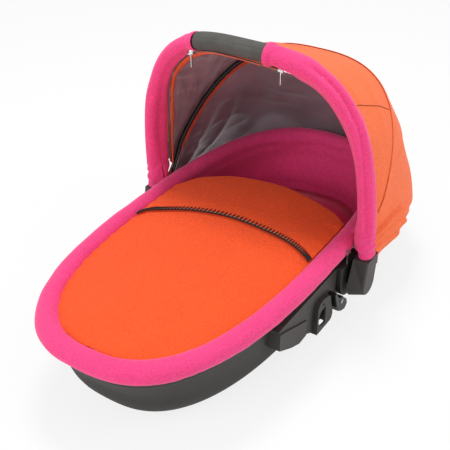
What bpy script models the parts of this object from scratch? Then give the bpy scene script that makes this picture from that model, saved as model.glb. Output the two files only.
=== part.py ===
"""Soft-lined carrycot with a swinging handle and folding canopy.

Metres. Origin: middle of the tub's flat underside. +Y is the head end, +Z up,
+X the right side seen from the foot. Main forms are lofts of superellipses.
"""
import math

import bmesh
import bpy
import numpy as np
from mathutils import Matrix, Vector

# Rim: padded roll that follows a superellipse.
OUTER_LENGTH = 0.800
ROLL_RADIUS = 0.018
RIM_HALF_LENGTH = OUTER_LENGTH / 2 - ROLL_RADIUS
RIM_HALF_WIDTH = 0.1755
RIM_POWER = 2.73
RIM_HEIGHT = 0.145
ROLL_FLAT_DROP = 0.0145
ROLL_SECTION_COUNT = 11
RING_COUNT = 56

# Tub shell: flat base, round bilge, flared wall, stepped band under the roll.
BASE_HALF_LENGTH = 0.286
BASE_HALF_WIDTH = 0.101
BASE_SHIFT = 0.0075
BASE_POWER = 2.5
BILGE_RADIUS = 0.070
BILGE_STEPS = 5
SHELL_THICKNESS = 0.003
WALL_SHARES = (0.33, 0.66)
FLARE_POWER = 1.15
LEDGE_HEIGHT = 0.117
BAND_STEP = 0.0025
LIP_OUTSET = 0.004
SIDE_HALF_WIDTH = max(RIM_HALF_WIDTH + LIP_OUTSET, BASE_HALF_WIDTH + BILGE_RADIUS)
FIT_GAP = 0.0003
CUT_OVERRUN = 0.004
TINY = 0.000001
VENT_LENGTH = 0.050
VENT_WIDTH = 0.006
VENT_PITCH = 0.100
VENT_OFFSET = 0.055
VENT_ROW_COUNT = 3

# Lining and mattress.
LINER_THICKNESS = 0.006
LINER_GAP = 0.0006
MATTRESS_SIDE_GAP = 0.002
MATTRESS_EDGE_HEIGHT = 0.042
MATTRESS_CROWN = 0.010
MATTRESS_PIPING_RADIUS = 0.006
CROWN_STEPS = 3

# Apron over the foot half, with its turned-down wind flap.
APRON_THICKNESS = 0.003
APRON_EDGE_HEIGHT = 0.149
APRON_CROWN = 0.016
APRON_CROWN_POWER = 2.2
APRON_END_POWER = 0.6
APRON_ROW_POWER = 1.35
APRON_HEAD_Y = 0.131
APRON_HEAD_BOW = 0.050
APRON_FOOT_TRIM = 0.0006
FLAP_EDGE_Y = 0.008
FLAP_EDGE_BOW = 0.032
FLAP_THICKNESS = 0.003
FLAP_WIDTH_SHARE = 0.985
APRON_COLUMNS = 16
APRON_ROWS = 13
FLAP_ROWS = 6
FOLD_RADIUS = 0.0045
FOLD_SHIFT = 0.0012
FOLD_STEPS = 4

# Carrying handle: a hoop that swings about the pivot axis.
PIVOT_Y = 0.068
PIVOT_Z = 0.082
HANDLE_FOOT_Y = 0.0755
HANDLE_FOOT_Z = 0.136
HANDLE_RISE = 0.3176
HANDLE_LEAN = math.radians(4.3)
HANDLE_NARROWING = 0.0147
HANDLE_POWER = 3.57
HANDLE_TUBE_RADIUS = 0.009
HANDLE_TUBE_WALL = 0.0015
HANDLE_TUBE_END_Z = 0.1113
SLOPE_STEP = 0.002
GRIP_HALF_LENGTH = 0.100
GRIP_RADIUS_IN_PLANE = 0.0145
GRIP_RADIUS_ACROSS = 0.0165
GRIP_END_ROUND = 0.004
GRIP_END_DROP = 0.0024
GRIP_ROUND_SHARES = (0.0, 0.35, 1.0)
SLEEVE_RADIUS_IN_PLANE = 0.0136
SLEEVE_RADIUS_ACROSS = 0.0168
SLEEVE_END_Z = 0.1310
SLEEVE_HEM_LENGTH = 0.010
SLEEVE_HEM_FLARE = 0.0022
HEM_FLARE_SHARE = 0.6
SLEEVE_COVER_X = 0.032
SLEEVE_COVER_WALL = 0.0026
SLEEVE_TAPER_LENGTH = 0.030
TUBE_SEGMENTS = 14
STATION_SPACING = 0.034

# Hub, bow eye and boot stacked along X on each side, with the pin through them.
HUB_RADIUS = 0.034
HUB_STAND = 0.0145
HUB_DEPTH = 0.044
HUB_EDGE_BEVEL = 0.0015
HUB_OUTER_X = SIDE_HALF_WIDTH + HUB_STAND
HUB_INNER_X = HUB_OUTER_X - HUB_DEPTH
EYE_RADIUS = 0.0125
EYE_THICKNESS = 0.0084
EYE_INNER_X = HUB_OUTER_X + FIT_GAP
EYE_OUTER_X = EYE_INNER_X + EYE_THICKNESS
BOOT_INNER_WALL = 0.0052
BOOT_OUTER_WALL = 0.0038
BOOT_INNER_X = EYE_OUTER_X + FIT_GAP
HANDLE_FOOT_HALF_WIDTH = BOOT_INNER_X + BOOT_INNER_WALL + HANDLE_TUBE_RADIUS
HANDLE_TOP_HALF_WIDTH = HANDLE_FOOT_HALF_WIDTH - HANDLE_NARROWING
BOOT_OUTER_X = HANDLE_FOOT_HALF_WIDTH + HANDLE_TUBE_RADIUS + BOOT_OUTER_WALL
BOOT_INNER_RADIUS = 0.030
BOOT_FACE_RADIUS = 0.0220
BOOT_EDGE_ROUND = 0.0035
BOOT_FACE_X = BOOT_OUTER_X - BOOT_EDGE_ROUND
BOOT_TOP_Z = 0.1293
BOOT_TOP_HALF = 0.0205
BOOT_ARC_STEPS = 16
BOOT_EDGE_STEPS = 3
PIN_RADIUS = 0.0040
PIN_CLEARANCE = 0.00007
PIN_SEAT_DEPTH = 0.0105
PIN_COVER = 0.0070
PIN_INNER_X = HUB_OUTER_X - PIN_SEAT_DEPTH
PIN_OUTER_X = BOOT_OUTER_X - PIN_COVER
ROUND_SEGMENTS = 32

# Canopy bow and fabric, as hoops fanned about a line near the pivot.
BOW_ANGLE = math.radians(40.7)
BOW_RADIUS = 0.0042
BOW_SPREAD = 0.0087
BOW_OVERHANG = 0.0194
BOW_POWER = 2.74
BOW_LEG_X = EYE_INNER_X + EYE_THICKNESS / 2
BOW_HALF_WIDTH = BOW_LEG_X + BOW_SPREAD
BOW_LEG_REACH = 0.055
BOW_SPREAD_REACH = 0.110
BOW_STATIONS = 40
FAN_Y = 0.075
FAN_Z = 0.120
BOW_REACH = RIM_HALF_LENGTH - FAN_Y + BOW_OVERHANG
CLOTH_THICKNESS = 0.002
SEAM_GAP = 0.0012
CLOTH_REST_GAP = 0.0010
BOW_COVER_OFFSET = BOW_RADIUS + CLOTH_THICKNESS / 2 + CLOTH_REST_GAP

# Front edge: runs inside the handle's line, close behind it at the top.
EDGE_INSET_LEFT = 0.0180
EDGE_INSET_RIGHT = 0.0225
EDGE_INSET_X = (-0.110, 0.030)
EDGE_BACK_TOP = 0.0055
EDGE_BACK_FOOT = 0.0220
EDGE_BACK_Z = (0.275, 0.395)
FRONT_START_Z = 0.175
FRONT_SWELL = 0.006

# Rear panel: bulges beyond the bow and drops to its hem.
REAR_START = 0.030
REAR_HEM_ANGLE = math.radians(90.0)
REAR_BULGE_WIDTH = 0.0152
REAR_BULGE_REACH = 0.008
REAR_BULGE_RATE = 0.85
REAR_POWER_RISE = 0.19
REAR_SINK = 0.0075
REAR_DROOP = 0.014
DROOP_END_REACH = 0.150
HEM_FOLD_DEPTH = 0.0035
HEM_FOLD_COUNT = 9
HEM_FOLD_SHARES = (0.5, 1.0)
HEM_FOLD_REACH = (0.030, 0.150)
FRONT_ROWS = 5
REAR_ROWS = 9
HOOP_COLUMNS = 36

# Zips: coils along the canopy's front edge, sliders with hanging pulls.
ZIP_RADIUS = 0.0015
ZIP_EDGE_GAP = 0.0024
ZIP_START_Z = 0.200
LEFT_SLIDER_X = -0.114
RIGHT_SLIDER_X = 0.055
SLIDER_LENGTH = 0.009
SLIDER_WIDTH = 0.006
SLIDER_HEIGHT = 0.0034
SLIDER_DROP = 0.0005
SLIDER_LOOP_RADIUS = 0.0019
SLIDER_LOOP_WIRE = 0.0006
LOOP_STRETCH = 2.0
LOOP_STEPS = 8
PULL_LENGTH = 0.022
PULL_WIDTH = 0.0045
PULL_THICKNESS = 0.0012
PULL_HOLE_RADIUS = 0.0010
PULL_HOLE_SEGMENTS = 12
PULL_TIP = 0.0006
PULL_OUTLINE_SHARES = ((0.60, 0.00), (1.00, 0.15), (0.80, 0.50), (1.00, 0.91), (0.70, 1.00))
RIM_SLIDER_Y = 0.046
RIM_SLIDER_LIFT = 0.001

# Side bracket: plate with a crease, recess, socket housing, tail and latch.
BRACKET_STAND = 0.0060
BRACKET_DEPTH = 0.0405
BRACKET_OUTER_X = SIDE_HALF_WIDTH + BRACKET_STAND
BRACKET_INNER_X = BRACKET_OUTER_X - BRACKET_DEPTH
BRACKET_TOP_Z = 0.1165
PLATE_STEP = 0.0027
PLATE_OUTER_X = BRACKET_OUTER_X + PLATE_STEP
PLATE_Y = (-0.160, -0.073)
PLATE_LOW_Z = 0.049
PLATE_EDGE_SHARES = ((0.00, 0.46), (0.43, 0.16), (0.74, 0.00), (1.00, 0.02))
CREASE_Z = (0.112, 0.080)
RECESS_LOW_Z = (0.050, 0.036)
ARCH_OUTER_X = HUB_OUTER_X
ARCH_Y = (-0.046, 0.009)
ARCH_Z = (0.033, 0.095)
ARCH_SHARES = ((0.00, 0.00), (0.84, 0.00), (0.94, 0.04), (1.00, 0.16), (0.98, 0.31),
               (0.85, 0.66), (0.82, 0.80), (0.80, 0.87), (0.62, 0.95), (0.28, 1.00),
               (0.09, 0.95), (0.00, 0.82))
TAIL_LOW_Z = 0.045
TAIL_Y = (0.005, 0.037)
TAIL_NECK_Y = 0.0315
TAIL_NECK_Z = (0.060, 0.072)
SOCKET_WALL = 0.0035
SOCKET_WIDTH = 0.0115
SOCKET_X = (ARCH_OUTER_X - SOCKET_WALL - SOCKET_WIDTH, ARCH_OUTER_X - SOCKET_WALL)
SOCKET_Y = (-0.0435, -0.0055)
SOCKET_TOP_Z = 0.080
SLOT_HEAD_Y = -0.018
SLOT_WIDTH = 0.024
SLOT_Z = (0.042, 0.077)
SLOT_POWER = 2.6
SLOT_STEPS = 12
NOTCH_Y = -0.033
NOTCH_Z = 0.083
NOTCH_SIZE = 0.008
NOTCH_DEPTH = 0.0025
NOTCH_SHARES = ((0.0, 0.0), (1.0, 0.0), (0.9, 1.0))
LATCH_Y = 0.028
LATCH_Z = 0.058
LATCH_INNER_X = BRACKET_OUTER_X + FIT_GAP
LATCH_THICKNESS = 0.0142
LATCH_OUTER_X = LATCH_INNER_X + LATCH_THICKNESS
LATCH_SPAN = 0.050
LATCH_EDGE_BEVEL = 0.0008
LATCH_BOSS_RADIUS = 0.009
LATCH_BOSS_ARC = (math.radians(0), math.radians(120))
LATCH_ARC_STEPS = 8
LATCH_TIP_SHARES = ((-0.28, 0.36), (-0.40, 0.60), (-0.50, 0.52))
LATCH_BELLY_SHARES = ((-0.38, 0.16), (-0.32, -0.08), (-0.20, -0.30), (0.04, -0.46),
                      (0.32, -0.54), (0.50, -0.38), (0.42, -0.16), (0.24, -0.06))
LATCH_PIN_RADIUS = 0.0025
LATCH_PIN_DEPTH = 0.0035
LATCH_PIN_HEAD_RADIUS = 0.0042
LATCH_PIN_HEAD = 0.0014

# Webbing tab at the canopy's hem.
TAB_WIDTH = 0.010
TAB_THICKNESS = 0.0024
TAB_LENGTH = 0.016
TAB_REACH = 0.040
TAB_GAP = 0.0006
TAB_EDGE_BEVEL = 0.0008

# Colours: linear RGB.
PINK = (0.84, 0.045, 0.20)
ORANGE = (0.95, 0.105, 0.018)
CANOPY_ORANGE = (0.95, 0.16, 0.035)
SHELL_GREY = (0.055, 0.052, 0.050)
FOAM_BLACK = (0.030, 0.028, 0.028)
GLOSS_BLACK = (0.008, 0.008, 0.008)
METAL = (0.62, 0.62, 0.62)
MATTRESS_PINK = (0.62, 0.035, 0.15)
TAB_RED = (0.16, 0.020, 0.012)

COLLECTION_NAME = "carrycot"
CUTTER_NAME = "cutters"


def clear_scene():
    for item in list(bpy.data.objects):
        bpy.data.objects.remove(item, do_unlink=True)


def new_collection(name):
    group = bpy.data.collections.new(name)
    bpy.context.scene.collection.children.link(group)
    return group


def new_material(name, colour, roughness, metallic):
    material = bpy.data.materials.new(name)
    material.use_nodes = True
    shader = material.node_tree.nodes["Principled BSDF"]
    shader.inputs["Base Color"].default_value = (*colour, 1.0)
    shader.inputs["Roughness"].default_value = roughness
    shader.inputs["Metallic"].default_value = metallic
    material.diffuse_color = (*colour, 1.0)
    return material


def add_object(name, mesh, group, finish=None, origin=(0, 0, 0)):
    item = bpy.data.objects.new(name, mesh)
    group.objects.link(item)
    if any(origin):
        shift = Vector(origin)
        for vertex in mesh.vertices:
            vertex.co -= shift
        item.location = shift
    if finish:
        mesh.materials.clear()
        mesh.materials.append(new_material(name, *finish))
    return item


def evaluated_mesh(item):
    graph = bpy.context.evaluated_depsgraph_get()
    graph.update()
    return bpy.data.meshes.new_from_object(item.evaluated_get(graph))


def add_bevel(item, width, segments=2, angle=math.radians(35)):
    bevel = item.modifiers.new("edges", "BEVEL")
    bevel.width = width
    bevel.segments = segments
    bevel.limit_method = "ANGLE"
    bevel.angle_limit = angle
    bevel.use_clamp_overlap = True


def add_cut(item, cutter, operation="DIFFERENCE"):
    cut = item.modifiers.new("cut", "BOOLEAN")
    cut.operation = operation
    cut.solver = "EXACT"
    cut.object = cutter


def set_apart(item):
    item.hide_render = True
    item.display_type = "WIRE"


def fix_faces(mesh):
    work = bmesh.new()
    work.from_mesh(mesh)
    bmesh.ops.recalc_face_normals(work, faces=work.faces)
    work.to_mesh(mesh)
    work.free()
    return mesh


def loft(name, rings, wrap=False, caps=True):
    """Closed rings of equal count, joined in order; ends filled or wrapped."""
    mesh = bpy.data.meshes.new(name)
    count = len(rings[0])
    points = [tuple(point) for ring in rings for point in ring]
    faces = []
    spans = len(rings) if wrap else len(rings) - 1
    for row in range(spans):
        low = row * count
        high = ((row + 1) % len(rings)) * count
        for column in range(count):
            after = (column + 1) % count
            faces.append((low + column, low + after, high + after, high + column))
    if caps and not wrap:
        faces.append(tuple(range(count)))
        faces.append(tuple(range((len(rings) - 1) * count, len(rings) * count)))
    mesh.from_pydata(points, [], faces)
    return fix_faces(mesh)


def sheet(name, grid, thickness):
    """Open grid of points given thickness on both sides of its surface."""
    rows = len(grid)
    columns = len(grid[0])
    faces = []
    for row in range(rows - 1):
        for column in range(columns - 1):
            corner = row * columns + column
            faces.append((corner, corner + 1, corner + columns + 1, corner + columns))
    mesh = bpy.data.meshes.new(name)
    mesh.from_pydata([tuple(point) for row in grid for point in row], [], faces)
    fix_faces(mesh)
    carrier = bpy.data.objects.new(name + "_carrier", mesh)
    bpy.context.scene.collection.objects.link(carrier)
    thicken = carrier.modifiers.new("thickness", "SOLIDIFY")
    thicken.thickness = thickness
    thicken.offset = 0.0
    thicken.use_even_offset = True
    solid = evaluated_mesh(carrier)
    bpy.data.objects.remove(carrier, do_unlink=True)
    return fix_faces(solid)


def prism(name, outline, low_x, high_x):
    """Outline of (y, z) points carried along X."""
    rings = [[(x, y, z) for y, z in outline] for x in (low_x, high_x)]
    return loft(name, rings)


def disc_outline(y, z, radius, segments=ROUND_SEGMENTS):
    turns = [2 * math.pi * step / segments for step in range(segments)]
    return [(y + radius * math.cos(turn), z + radius * math.sin(turn)) for turn in turns]


def arc_outline(y, z, radius, first, last, steps):
    turns = [first + (last - first) * step / steps for step in range(steps + 1)]
    return [(y + radius * math.cos(turn), z + radius * math.sin(turn)) for turn in turns]


def box_mesh(name, low, high):
    mesh = bpy.data.meshes.new(name)
    work = bmesh.new()
    bmesh.ops.create_cube(work, size=1.0)
    size = [b - a for a, b in zip(low, high)]
    middle = [(a + b) / 2 for a, b in zip(low, high)]
    bmesh.ops.scale(work, vec=size, verts=work.verts)
    bmesh.ops.translate(work, vec=middle, verts=work.verts)
    work.to_mesh(mesh)
    work.free()
    return mesh


def mirror_copy(source, name, group, finish):
    """The same solid reflected to the left side, faces kept outward."""
    mesh = evaluated_mesh(source)
    mesh.name = name
    for vertex in mesh.vertices:
        vertex.co.x = -vertex.co.x
    mesh.flip_normals()
    item = add_object(name, mesh, group)
    mesh.materials.clear()
    mesh.materials.append(new_material(name, *finish))
    item.location = (-source.location.x, source.location.y, source.location.z)
    return item


def signed_power(value, power):
    return math.copysign(abs(value) ** power, value)


def oval_point(angle, half_length, half_width, power, shift):
    across = half_width * signed_power(math.cos(angle), 2 / power)
    along = half_length * signed_power(math.sin(angle), 2 / power)
    return across, along + shift


def even_angles(count, half_length, half_width, power):
    """Angles that space an oval's points evenly along its edge."""
    fine = np.linspace(0.0, 2 * math.pi, 4001)
    points = np.array([oval_point(a, half_length, half_width, power, 0.0) for a in fine])
    steps = np.hypot(*np.diff(points, axis=0).T)
    run = np.concatenate([[0.0], np.cumsum(steps)])
    wanted = np.linspace(0.0, run[-1], count + 1)[:-1]
    return np.interp(wanted, run, fine)


RING_ANGLES = even_angles(RING_COUNT, RIM_HALF_LENGTH, RIM_HALF_WIDTH, RIM_POWER)


def ring(height, half_length, half_width, power=RIM_POWER, shift=0.0, angles=RING_ANGLES):
    points = [oval_point(a, half_length, half_width, power, shift) for a in angles]
    return [(x, y, height) for x, y in points]


def tub_rings(inset, top, steps=BILGE_STEPS, band=False):
    """Rings up the tub's wall, drawn in from its outside by inset."""
    rings = []
    round_radius = BILGE_RADIUS - inset
    for step in range(steps + 1):
        turn = math.pi / 2 * step / steps
        grow = round_radius * math.sin(turn)
        height = BILGE_RADIUS - round_radius * math.cos(turn)
        blend = step / steps
        power = BASE_POWER + (RIM_POWER - BASE_POWER) * blend
        half_length = BASE_HALF_LENGTH + grow
        half_width = BASE_HALF_WIDTH + grow
        rings.append(ring(height, half_length, half_width, power, BASE_SHIFT * (1 - blend)))
    wall_length = BASE_HALF_LENGTH + BILGE_RADIUS
    wall_width = BASE_HALF_WIDTH + BILGE_RADIUS
    lip_length = RIM_HALF_LENGTH + LIP_OUTSET
    lip_width = RIM_HALF_WIDTH + LIP_OUTSET
    shares = [share for share in WALL_SHARES if share < 1.0]
    heights = [BILGE_RADIUS + (LEDGE_HEIGHT - BILGE_RADIUS) * share for share in shares]
    for share, height in zip(shares, heights):
        ease = share ** FLARE_POWER
        half_length = wall_length + (lip_length - BAND_STEP - wall_length) * ease - inset
        half_width = wall_width + (lip_width - BAND_STEP - wall_width) * ease - inset
        rings.append(ring(height, half_length, half_width))
    step_in = BAND_STEP if band else 0.0
    rings.append(ring(LEDGE_HEIGHT, lip_length - inset - step_in, lip_width - inset - step_in))
    if band:
        rings.append(ring(LEDGE_HEIGHT + BAND_STEP, lip_length - inset, lip_width - inset))
    rings.append(ring(top, lip_length - inset, lip_width - inset))
    return rings


def hoop_points(half_width, reach, power, start, count):
    """(x, r) points of a hoop, evenly spaced, both ends cut at r = start."""
    first = math.asin((start / reach) ** (power / 2))
    turns = np.linspace(first, math.pi - first, 2001)
    x = np.array([half_width * signed_power(math.cos(t), 2 / power) for t in turns])
    r = np.array([reach * signed_power(math.sin(t), 2 / power) for t in turns])
    run = np.concatenate([[0.0], np.cumsum(np.hypot(np.diff(x), np.diff(r)))])
    wanted = np.linspace(0.0, run[-1], count + 1)
    return list(zip(np.interp(wanted, run, x), np.interp(wanted, run, r)))


def share_between(value, low, high):
    return min(max((value - low) / (high - low), 0.0), 1.0)


def ease_between(value, low, high):
    share = share_between(value, low, high)
    return share * share * (3 - 2 * share)


def fan_hoop(angle, half_width, reach, power, start, count=HOOP_COLUMNS, across=0.0, leg_x=None):
    """Hoop in the plane turned by angle from upright towards the head.

    Near its ends the hoop narrows to leg_x, to pass between the hub and the boot.
    """
    points = []
    for x, r in hoop_points(half_width, reach, power, start, count):
        if leg_x is not None:
            spread = ease_between(r, BOW_LEG_REACH, BOW_SPREAD_REACH)
            x = math.copysign(leg_x + (abs(x) - leg_x) * spread, x)
        y = FAN_Y + r * math.sin(angle) + across * math.cos(angle)
        z = FAN_Z + r * math.cos(angle) - across * math.sin(angle)
        points.append((x, y, z))
    return points


def handle_line(count=481):
    """Centreline of the handle from the right foot over to the left foot."""
    points = []
    for step in range(count):
        turn = math.pi * step / (count - 1)
        climb = abs(math.sin(turn)) ** (2 / HANDLE_POWER)
        span = HANDLE_TOP_HALF_WIDTH - HANDLE_FOOT_HALF_WIDTH
        width = HANDLE_FOOT_HALF_WIDTH + span * climb
        x = width * signed_power(math.cos(turn), 2 / HANDLE_POWER)
        y = HANDLE_FOOT_Y - HANDLE_RISE * climb * math.sin(HANDLE_LEAN)
        z = HANDLE_FOOT_Z + HANDLE_RISE * climb * math.cos(HANDLE_LEAN)
        points.append((x, y, z))
    slope = math.tan(HANDLE_LEAN)
    drop = HANDLE_FOOT_Z - HANDLE_TUBE_END_Z
    foot = (HANDLE_FOOT_HALF_WIDTH, HANDLE_FOOT_Y + drop * slope, HANDLE_TUBE_END_Z)
    return np.array([foot] + points + [(-foot[0], foot[1], foot[2])])


HANDLE_LINE = handle_line()
HANDLE_RUN = np.concatenate(
    [[0.0], np.cumsum(np.linalg.norm(np.diff(HANDLE_LINE, axis=0), axis=1))])
HANDLE_NORMAL = np.array([0.0, math.cos(HANDLE_LEAN), math.sin(HANDLE_LEAN)])


def along_handle(distance):
    return np.array([np.interp(distance, HANDLE_RUN, HANDLE_LINE[:, k]) for k in range(3)])


def distance_at_x(x):
    return float(np.interp(-x, -HANDLE_LINE[1:-1, 0], HANDLE_RUN[1:-1]))


def distance_at_foot(z):
    rise = (z - HANDLE_TUBE_END_Z) / (HANDLE_FOOT_Z - HANDLE_TUBE_END_Z)
    return float(HANDLE_RUN[1] * rise)


def distance_at_height(z):
    """Distance along the handle at which its right leg reaches a height."""
    half = len(HANDLE_RUN) // 2
    return float(np.interp(z, HANDLE_LINE[:half, 2], HANDLE_RUN[:half]))


def handle_frame(distance):
    """Centre, and the direction in the handle's plane that points inside the hoop."""
    middle = along_handle(distance)
    ahead = along_handle(min(distance + SLOPE_STEP, HANDLE_RUN[-1]))
    behind = along_handle(max(distance - SLOPE_STEP, 0.0))
    direction = (ahead - behind) / np.linalg.norm(ahead - behind)
    return middle, np.cross(direction, HANDLE_NORMAL)


def handle_section(distance, in_plane, across, segments=TUBE_SEGMENTS):
    middle, inward = handle_frame(distance)
    turns = [2 * math.pi * step / segments for step in range(segments)]
    return [tuple(middle + inward * in_plane * math.cos(t) + HANDLE_NORMAL * across * math.sin(t))
            for t in turns]


def handle_tube_mesh(name, stations, outer, inner):
    """Tube round the handle's centreline; outer and inner give radii by distance."""
    skin = [handle_section(s, *outer(s)) for s in stations]
    bore = [handle_section(s, *inner(s)) for s in reversed(stations)]
    return loft(name, skin + bore, wrap=True)


def make_tub(group, cutters):
    top = RIM_HEIGHT - ROLL_FLAT_DROP - FIT_GAP
    outer = tub_rings(0.0, top, band=True)
    inner = tub_rings(SHELL_THICKNESS, top)
    shell = add_object("tub_shell", loft("tub_shell", outer + inner[::-1]), group,
                       (SHELL_GREY, 0.62, 0.0))
    vents = bmesh.new()
    for row in range(VENT_ROW_COUNT):
        for side in (1, -1):
            y = BASE_SHIFT + (row - (VENT_ROW_COUNT - 1) / 2) * VENT_PITCH
            place = (side * VENT_OFFSET, y, 0.0)
            made = bmesh.ops.create_cube(vents, size=1.0)["verts"]
            size = (VENT_WIDTH, VENT_LENGTH, 2 * (SHELL_THICKNESS + CUT_OVERRUN))
            bmesh.ops.scale(vents, vec=size, verts=made)
            bmesh.ops.translate(vents, vec=place, verts=made)
    mesh = bpy.data.meshes.new("vent_cutter")
    vents.to_mesh(mesh)
    vents.free()
    cutter = add_object("vent_cutter", mesh, cutters)
    set_apart(cutter)
    add_cut(shell, cutter)
    envelope_rings = tub_rings(-FIT_GAP, top + BAND_STEP, band=True)
    envelope = add_object("tub_envelope", loft("tub_envelope", envelope_rings), cutters)
    set_apart(envelope)
    return envelope


def make_liner(group):
    top = RIM_HEIGHT - ROLL_FLAT_DROP - FIT_GAP
    outset = SHELL_THICKNESS + LINER_GAP
    outer = tub_rings(outset, top)
    inner = tub_rings(outset + LINER_THICKNESS, top)
    add_object("liner", loft("liner", outer + inner[::-1]), group, (PINK, 0.95, 0.0))


def make_mattress(group):
    inset = SHELL_THICKNESS + LINER_GAP + LINER_THICKNESS + FIT_GAP
    side = inset + MATTRESS_SIDE_GAP
    walls = [level for level in tub_rings(side, BILGE_RADIUS) if level[0][2] < MATTRESS_EDGE_HEIGHT]
    lift = inset - walls[0][0][2]
    rings = [[(x, y, z + lift) for x, y, z in level] for level in walls]
    last = np.array(rings[-1])
    for step in range(1, CROWN_STEPS + 1):
        turn = math.pi / 2 * step / CROWN_STEPS
        shrink = MATTRESS_PIPING_RADIUS * (1 - math.cos(turn))
        height = MATTRESS_EDGE_HEIGHT + MATTRESS_PIPING_RADIUS * math.sin(turn)
        scale = 1 - shrink / BASE_HALF_WIDTH
        rings.append([(x * scale, y * scale, height) for x, y, z in last])
    edge = np.array(rings[-1])
    for step in range(1, CROWN_STEPS):
        share = step / CROWN_STEPS
        height = edge[0][2] + MATTRESS_CROWN * (1 - (1 - share) ** 2)
        rings.append([(x * (1 - share), y * (1 - share), height) for x, y, z in edge])
    add_object("mattress", loft("mattress", rings), group, (MATTRESS_PINK, 0.9, 0.0))


def make_roll(group):
    rings = []
    flat_turn = math.asin(ROLL_FLAT_DROP / ROLL_RADIUS)
    sweep = math.pi + 2 * flat_turn
    for step in range(ROLL_SECTION_COUNT + 1):
        turn = -flat_turn + sweep * step / ROLL_SECTION_COUNT
        out = ROLL_RADIUS * math.cos(turn)
        height = RIM_HEIGHT + ROLL_RADIUS * math.sin(turn)
        rings.append(ring(height, RIM_HALF_LENGTH + out, RIM_HALF_WIDTH + out))
    add_object("rim_roll", loft("rim_roll", rings, wrap=True), group, (PINK, 0.95, 0.0))


def apron_half_width(y):
    inner = ROLL_RADIUS + 2 * FIT_GAP
    share = min(abs(y) / (RIM_HALF_LENGTH - inner), 1.0)
    return (RIM_HALF_WIDTH - inner) * (1 - share ** RIM_POWER) ** (1 / RIM_POWER)


def apron_height(x, y, lift=0.0):
    half = max(apron_half_width(y), TINY)
    across = min(abs(x) / half, 1.0)
    ends = min(1.0, (y + RIM_HALF_LENGTH) / (RIM_HALF_LENGTH / 2))
    rise = APRON_CROWN * (1 - across ** APRON_CROWN_POWER) * max(ends, 0.0) ** APRON_END_POWER
    return APRON_EDGE_HEIGHT + rise + lift


def arc_line(u, middle_y, bow):
    """Point on a curved cross line at width share u, by a few short passes."""
    y = middle_y
    for _ in range(3):
        x = u * apron_half_width(y)
        y = middle_y - bow * (x / RIM_HALF_WIDTH) ** 2
    return u * apron_half_width(y), y


def make_apron(group):
    foot = APRON_FOOT_TRIM - (RIM_HALF_LENGTH - ROLL_RADIUS - 2 * FIT_GAP)
    shares = [math.sin(math.pi / 2 * (2 * k / APRON_COLUMNS - 1)) for k in range(APRON_COLUMNS + 1)]
    grid = []
    for row in range(APRON_ROWS + 1):
        part = (row / APRON_ROWS) ** APRON_ROW_POWER
        line = []
        for u in shares:
            head_y = arc_line(u, APRON_HEAD_Y, APRON_HEAD_BOW)[1]
            y = foot + (head_y - foot) * part
            x = u * apron_half_width(y)
            line.append((x, y, apron_height(x, y)))
        grid.append(line)
    mesh = sheet("apron", grid, APRON_THICKNESS)
    add_object("apron", mesh, group, (ORANGE, 0.95, 0.0))

    lift = (APRON_THICKNESS + FLAP_THICKNESS) / 2 + FIT_GAP
    inner_shares = [u * FLAP_WIDTH_SHARE for u in shares]
    flap = []
    for row in range(FLAP_ROWS + 1):
        part = row / FLAP_ROWS
        line = []
        for u in inner_shares:
            near = arc_line(u, FLAP_EDGE_Y, FLAP_EDGE_BOW)[1]
            far = arc_line(u, APRON_HEAD_Y, APRON_HEAD_BOW)[1]
            y = near + (far - near) * part
            x = u * apron_half_width(y)
            line.append((x, y, apron_height(x, y, lift)))
        flap.append(line)
    for step in range(1, FOLD_STEPS + 1):
        turn = math.pi * step / FOLD_STEPS
        out = FOLD_RADIUS * math.sin(turn)
        drop = lift * (1 - math.cos(turn))
        base = flap[FLAP_ROWS]
        flap.append([(x, y + out + FOLD_SHIFT, z - drop) for x, y, z in base])
    mesh = sheet("apron_flap", flap, FLAP_THICKNESS)
    add_object("apron_flap", mesh, group, (ORANGE, 0.95, 0.0))


def spread_stations(breaks, spacing):
    """Distances along the handle that keep every break and fill the gaps evenly."""
    stations = [breaks[0]]
    for low, high in zip(breaks, breaks[1:]):
        parts = max(1, round((high - low) / spacing))
        stations += [low + (high - low) * (k + 1) / parts for k in range(parts)]
    return np.array(stations)


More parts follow.
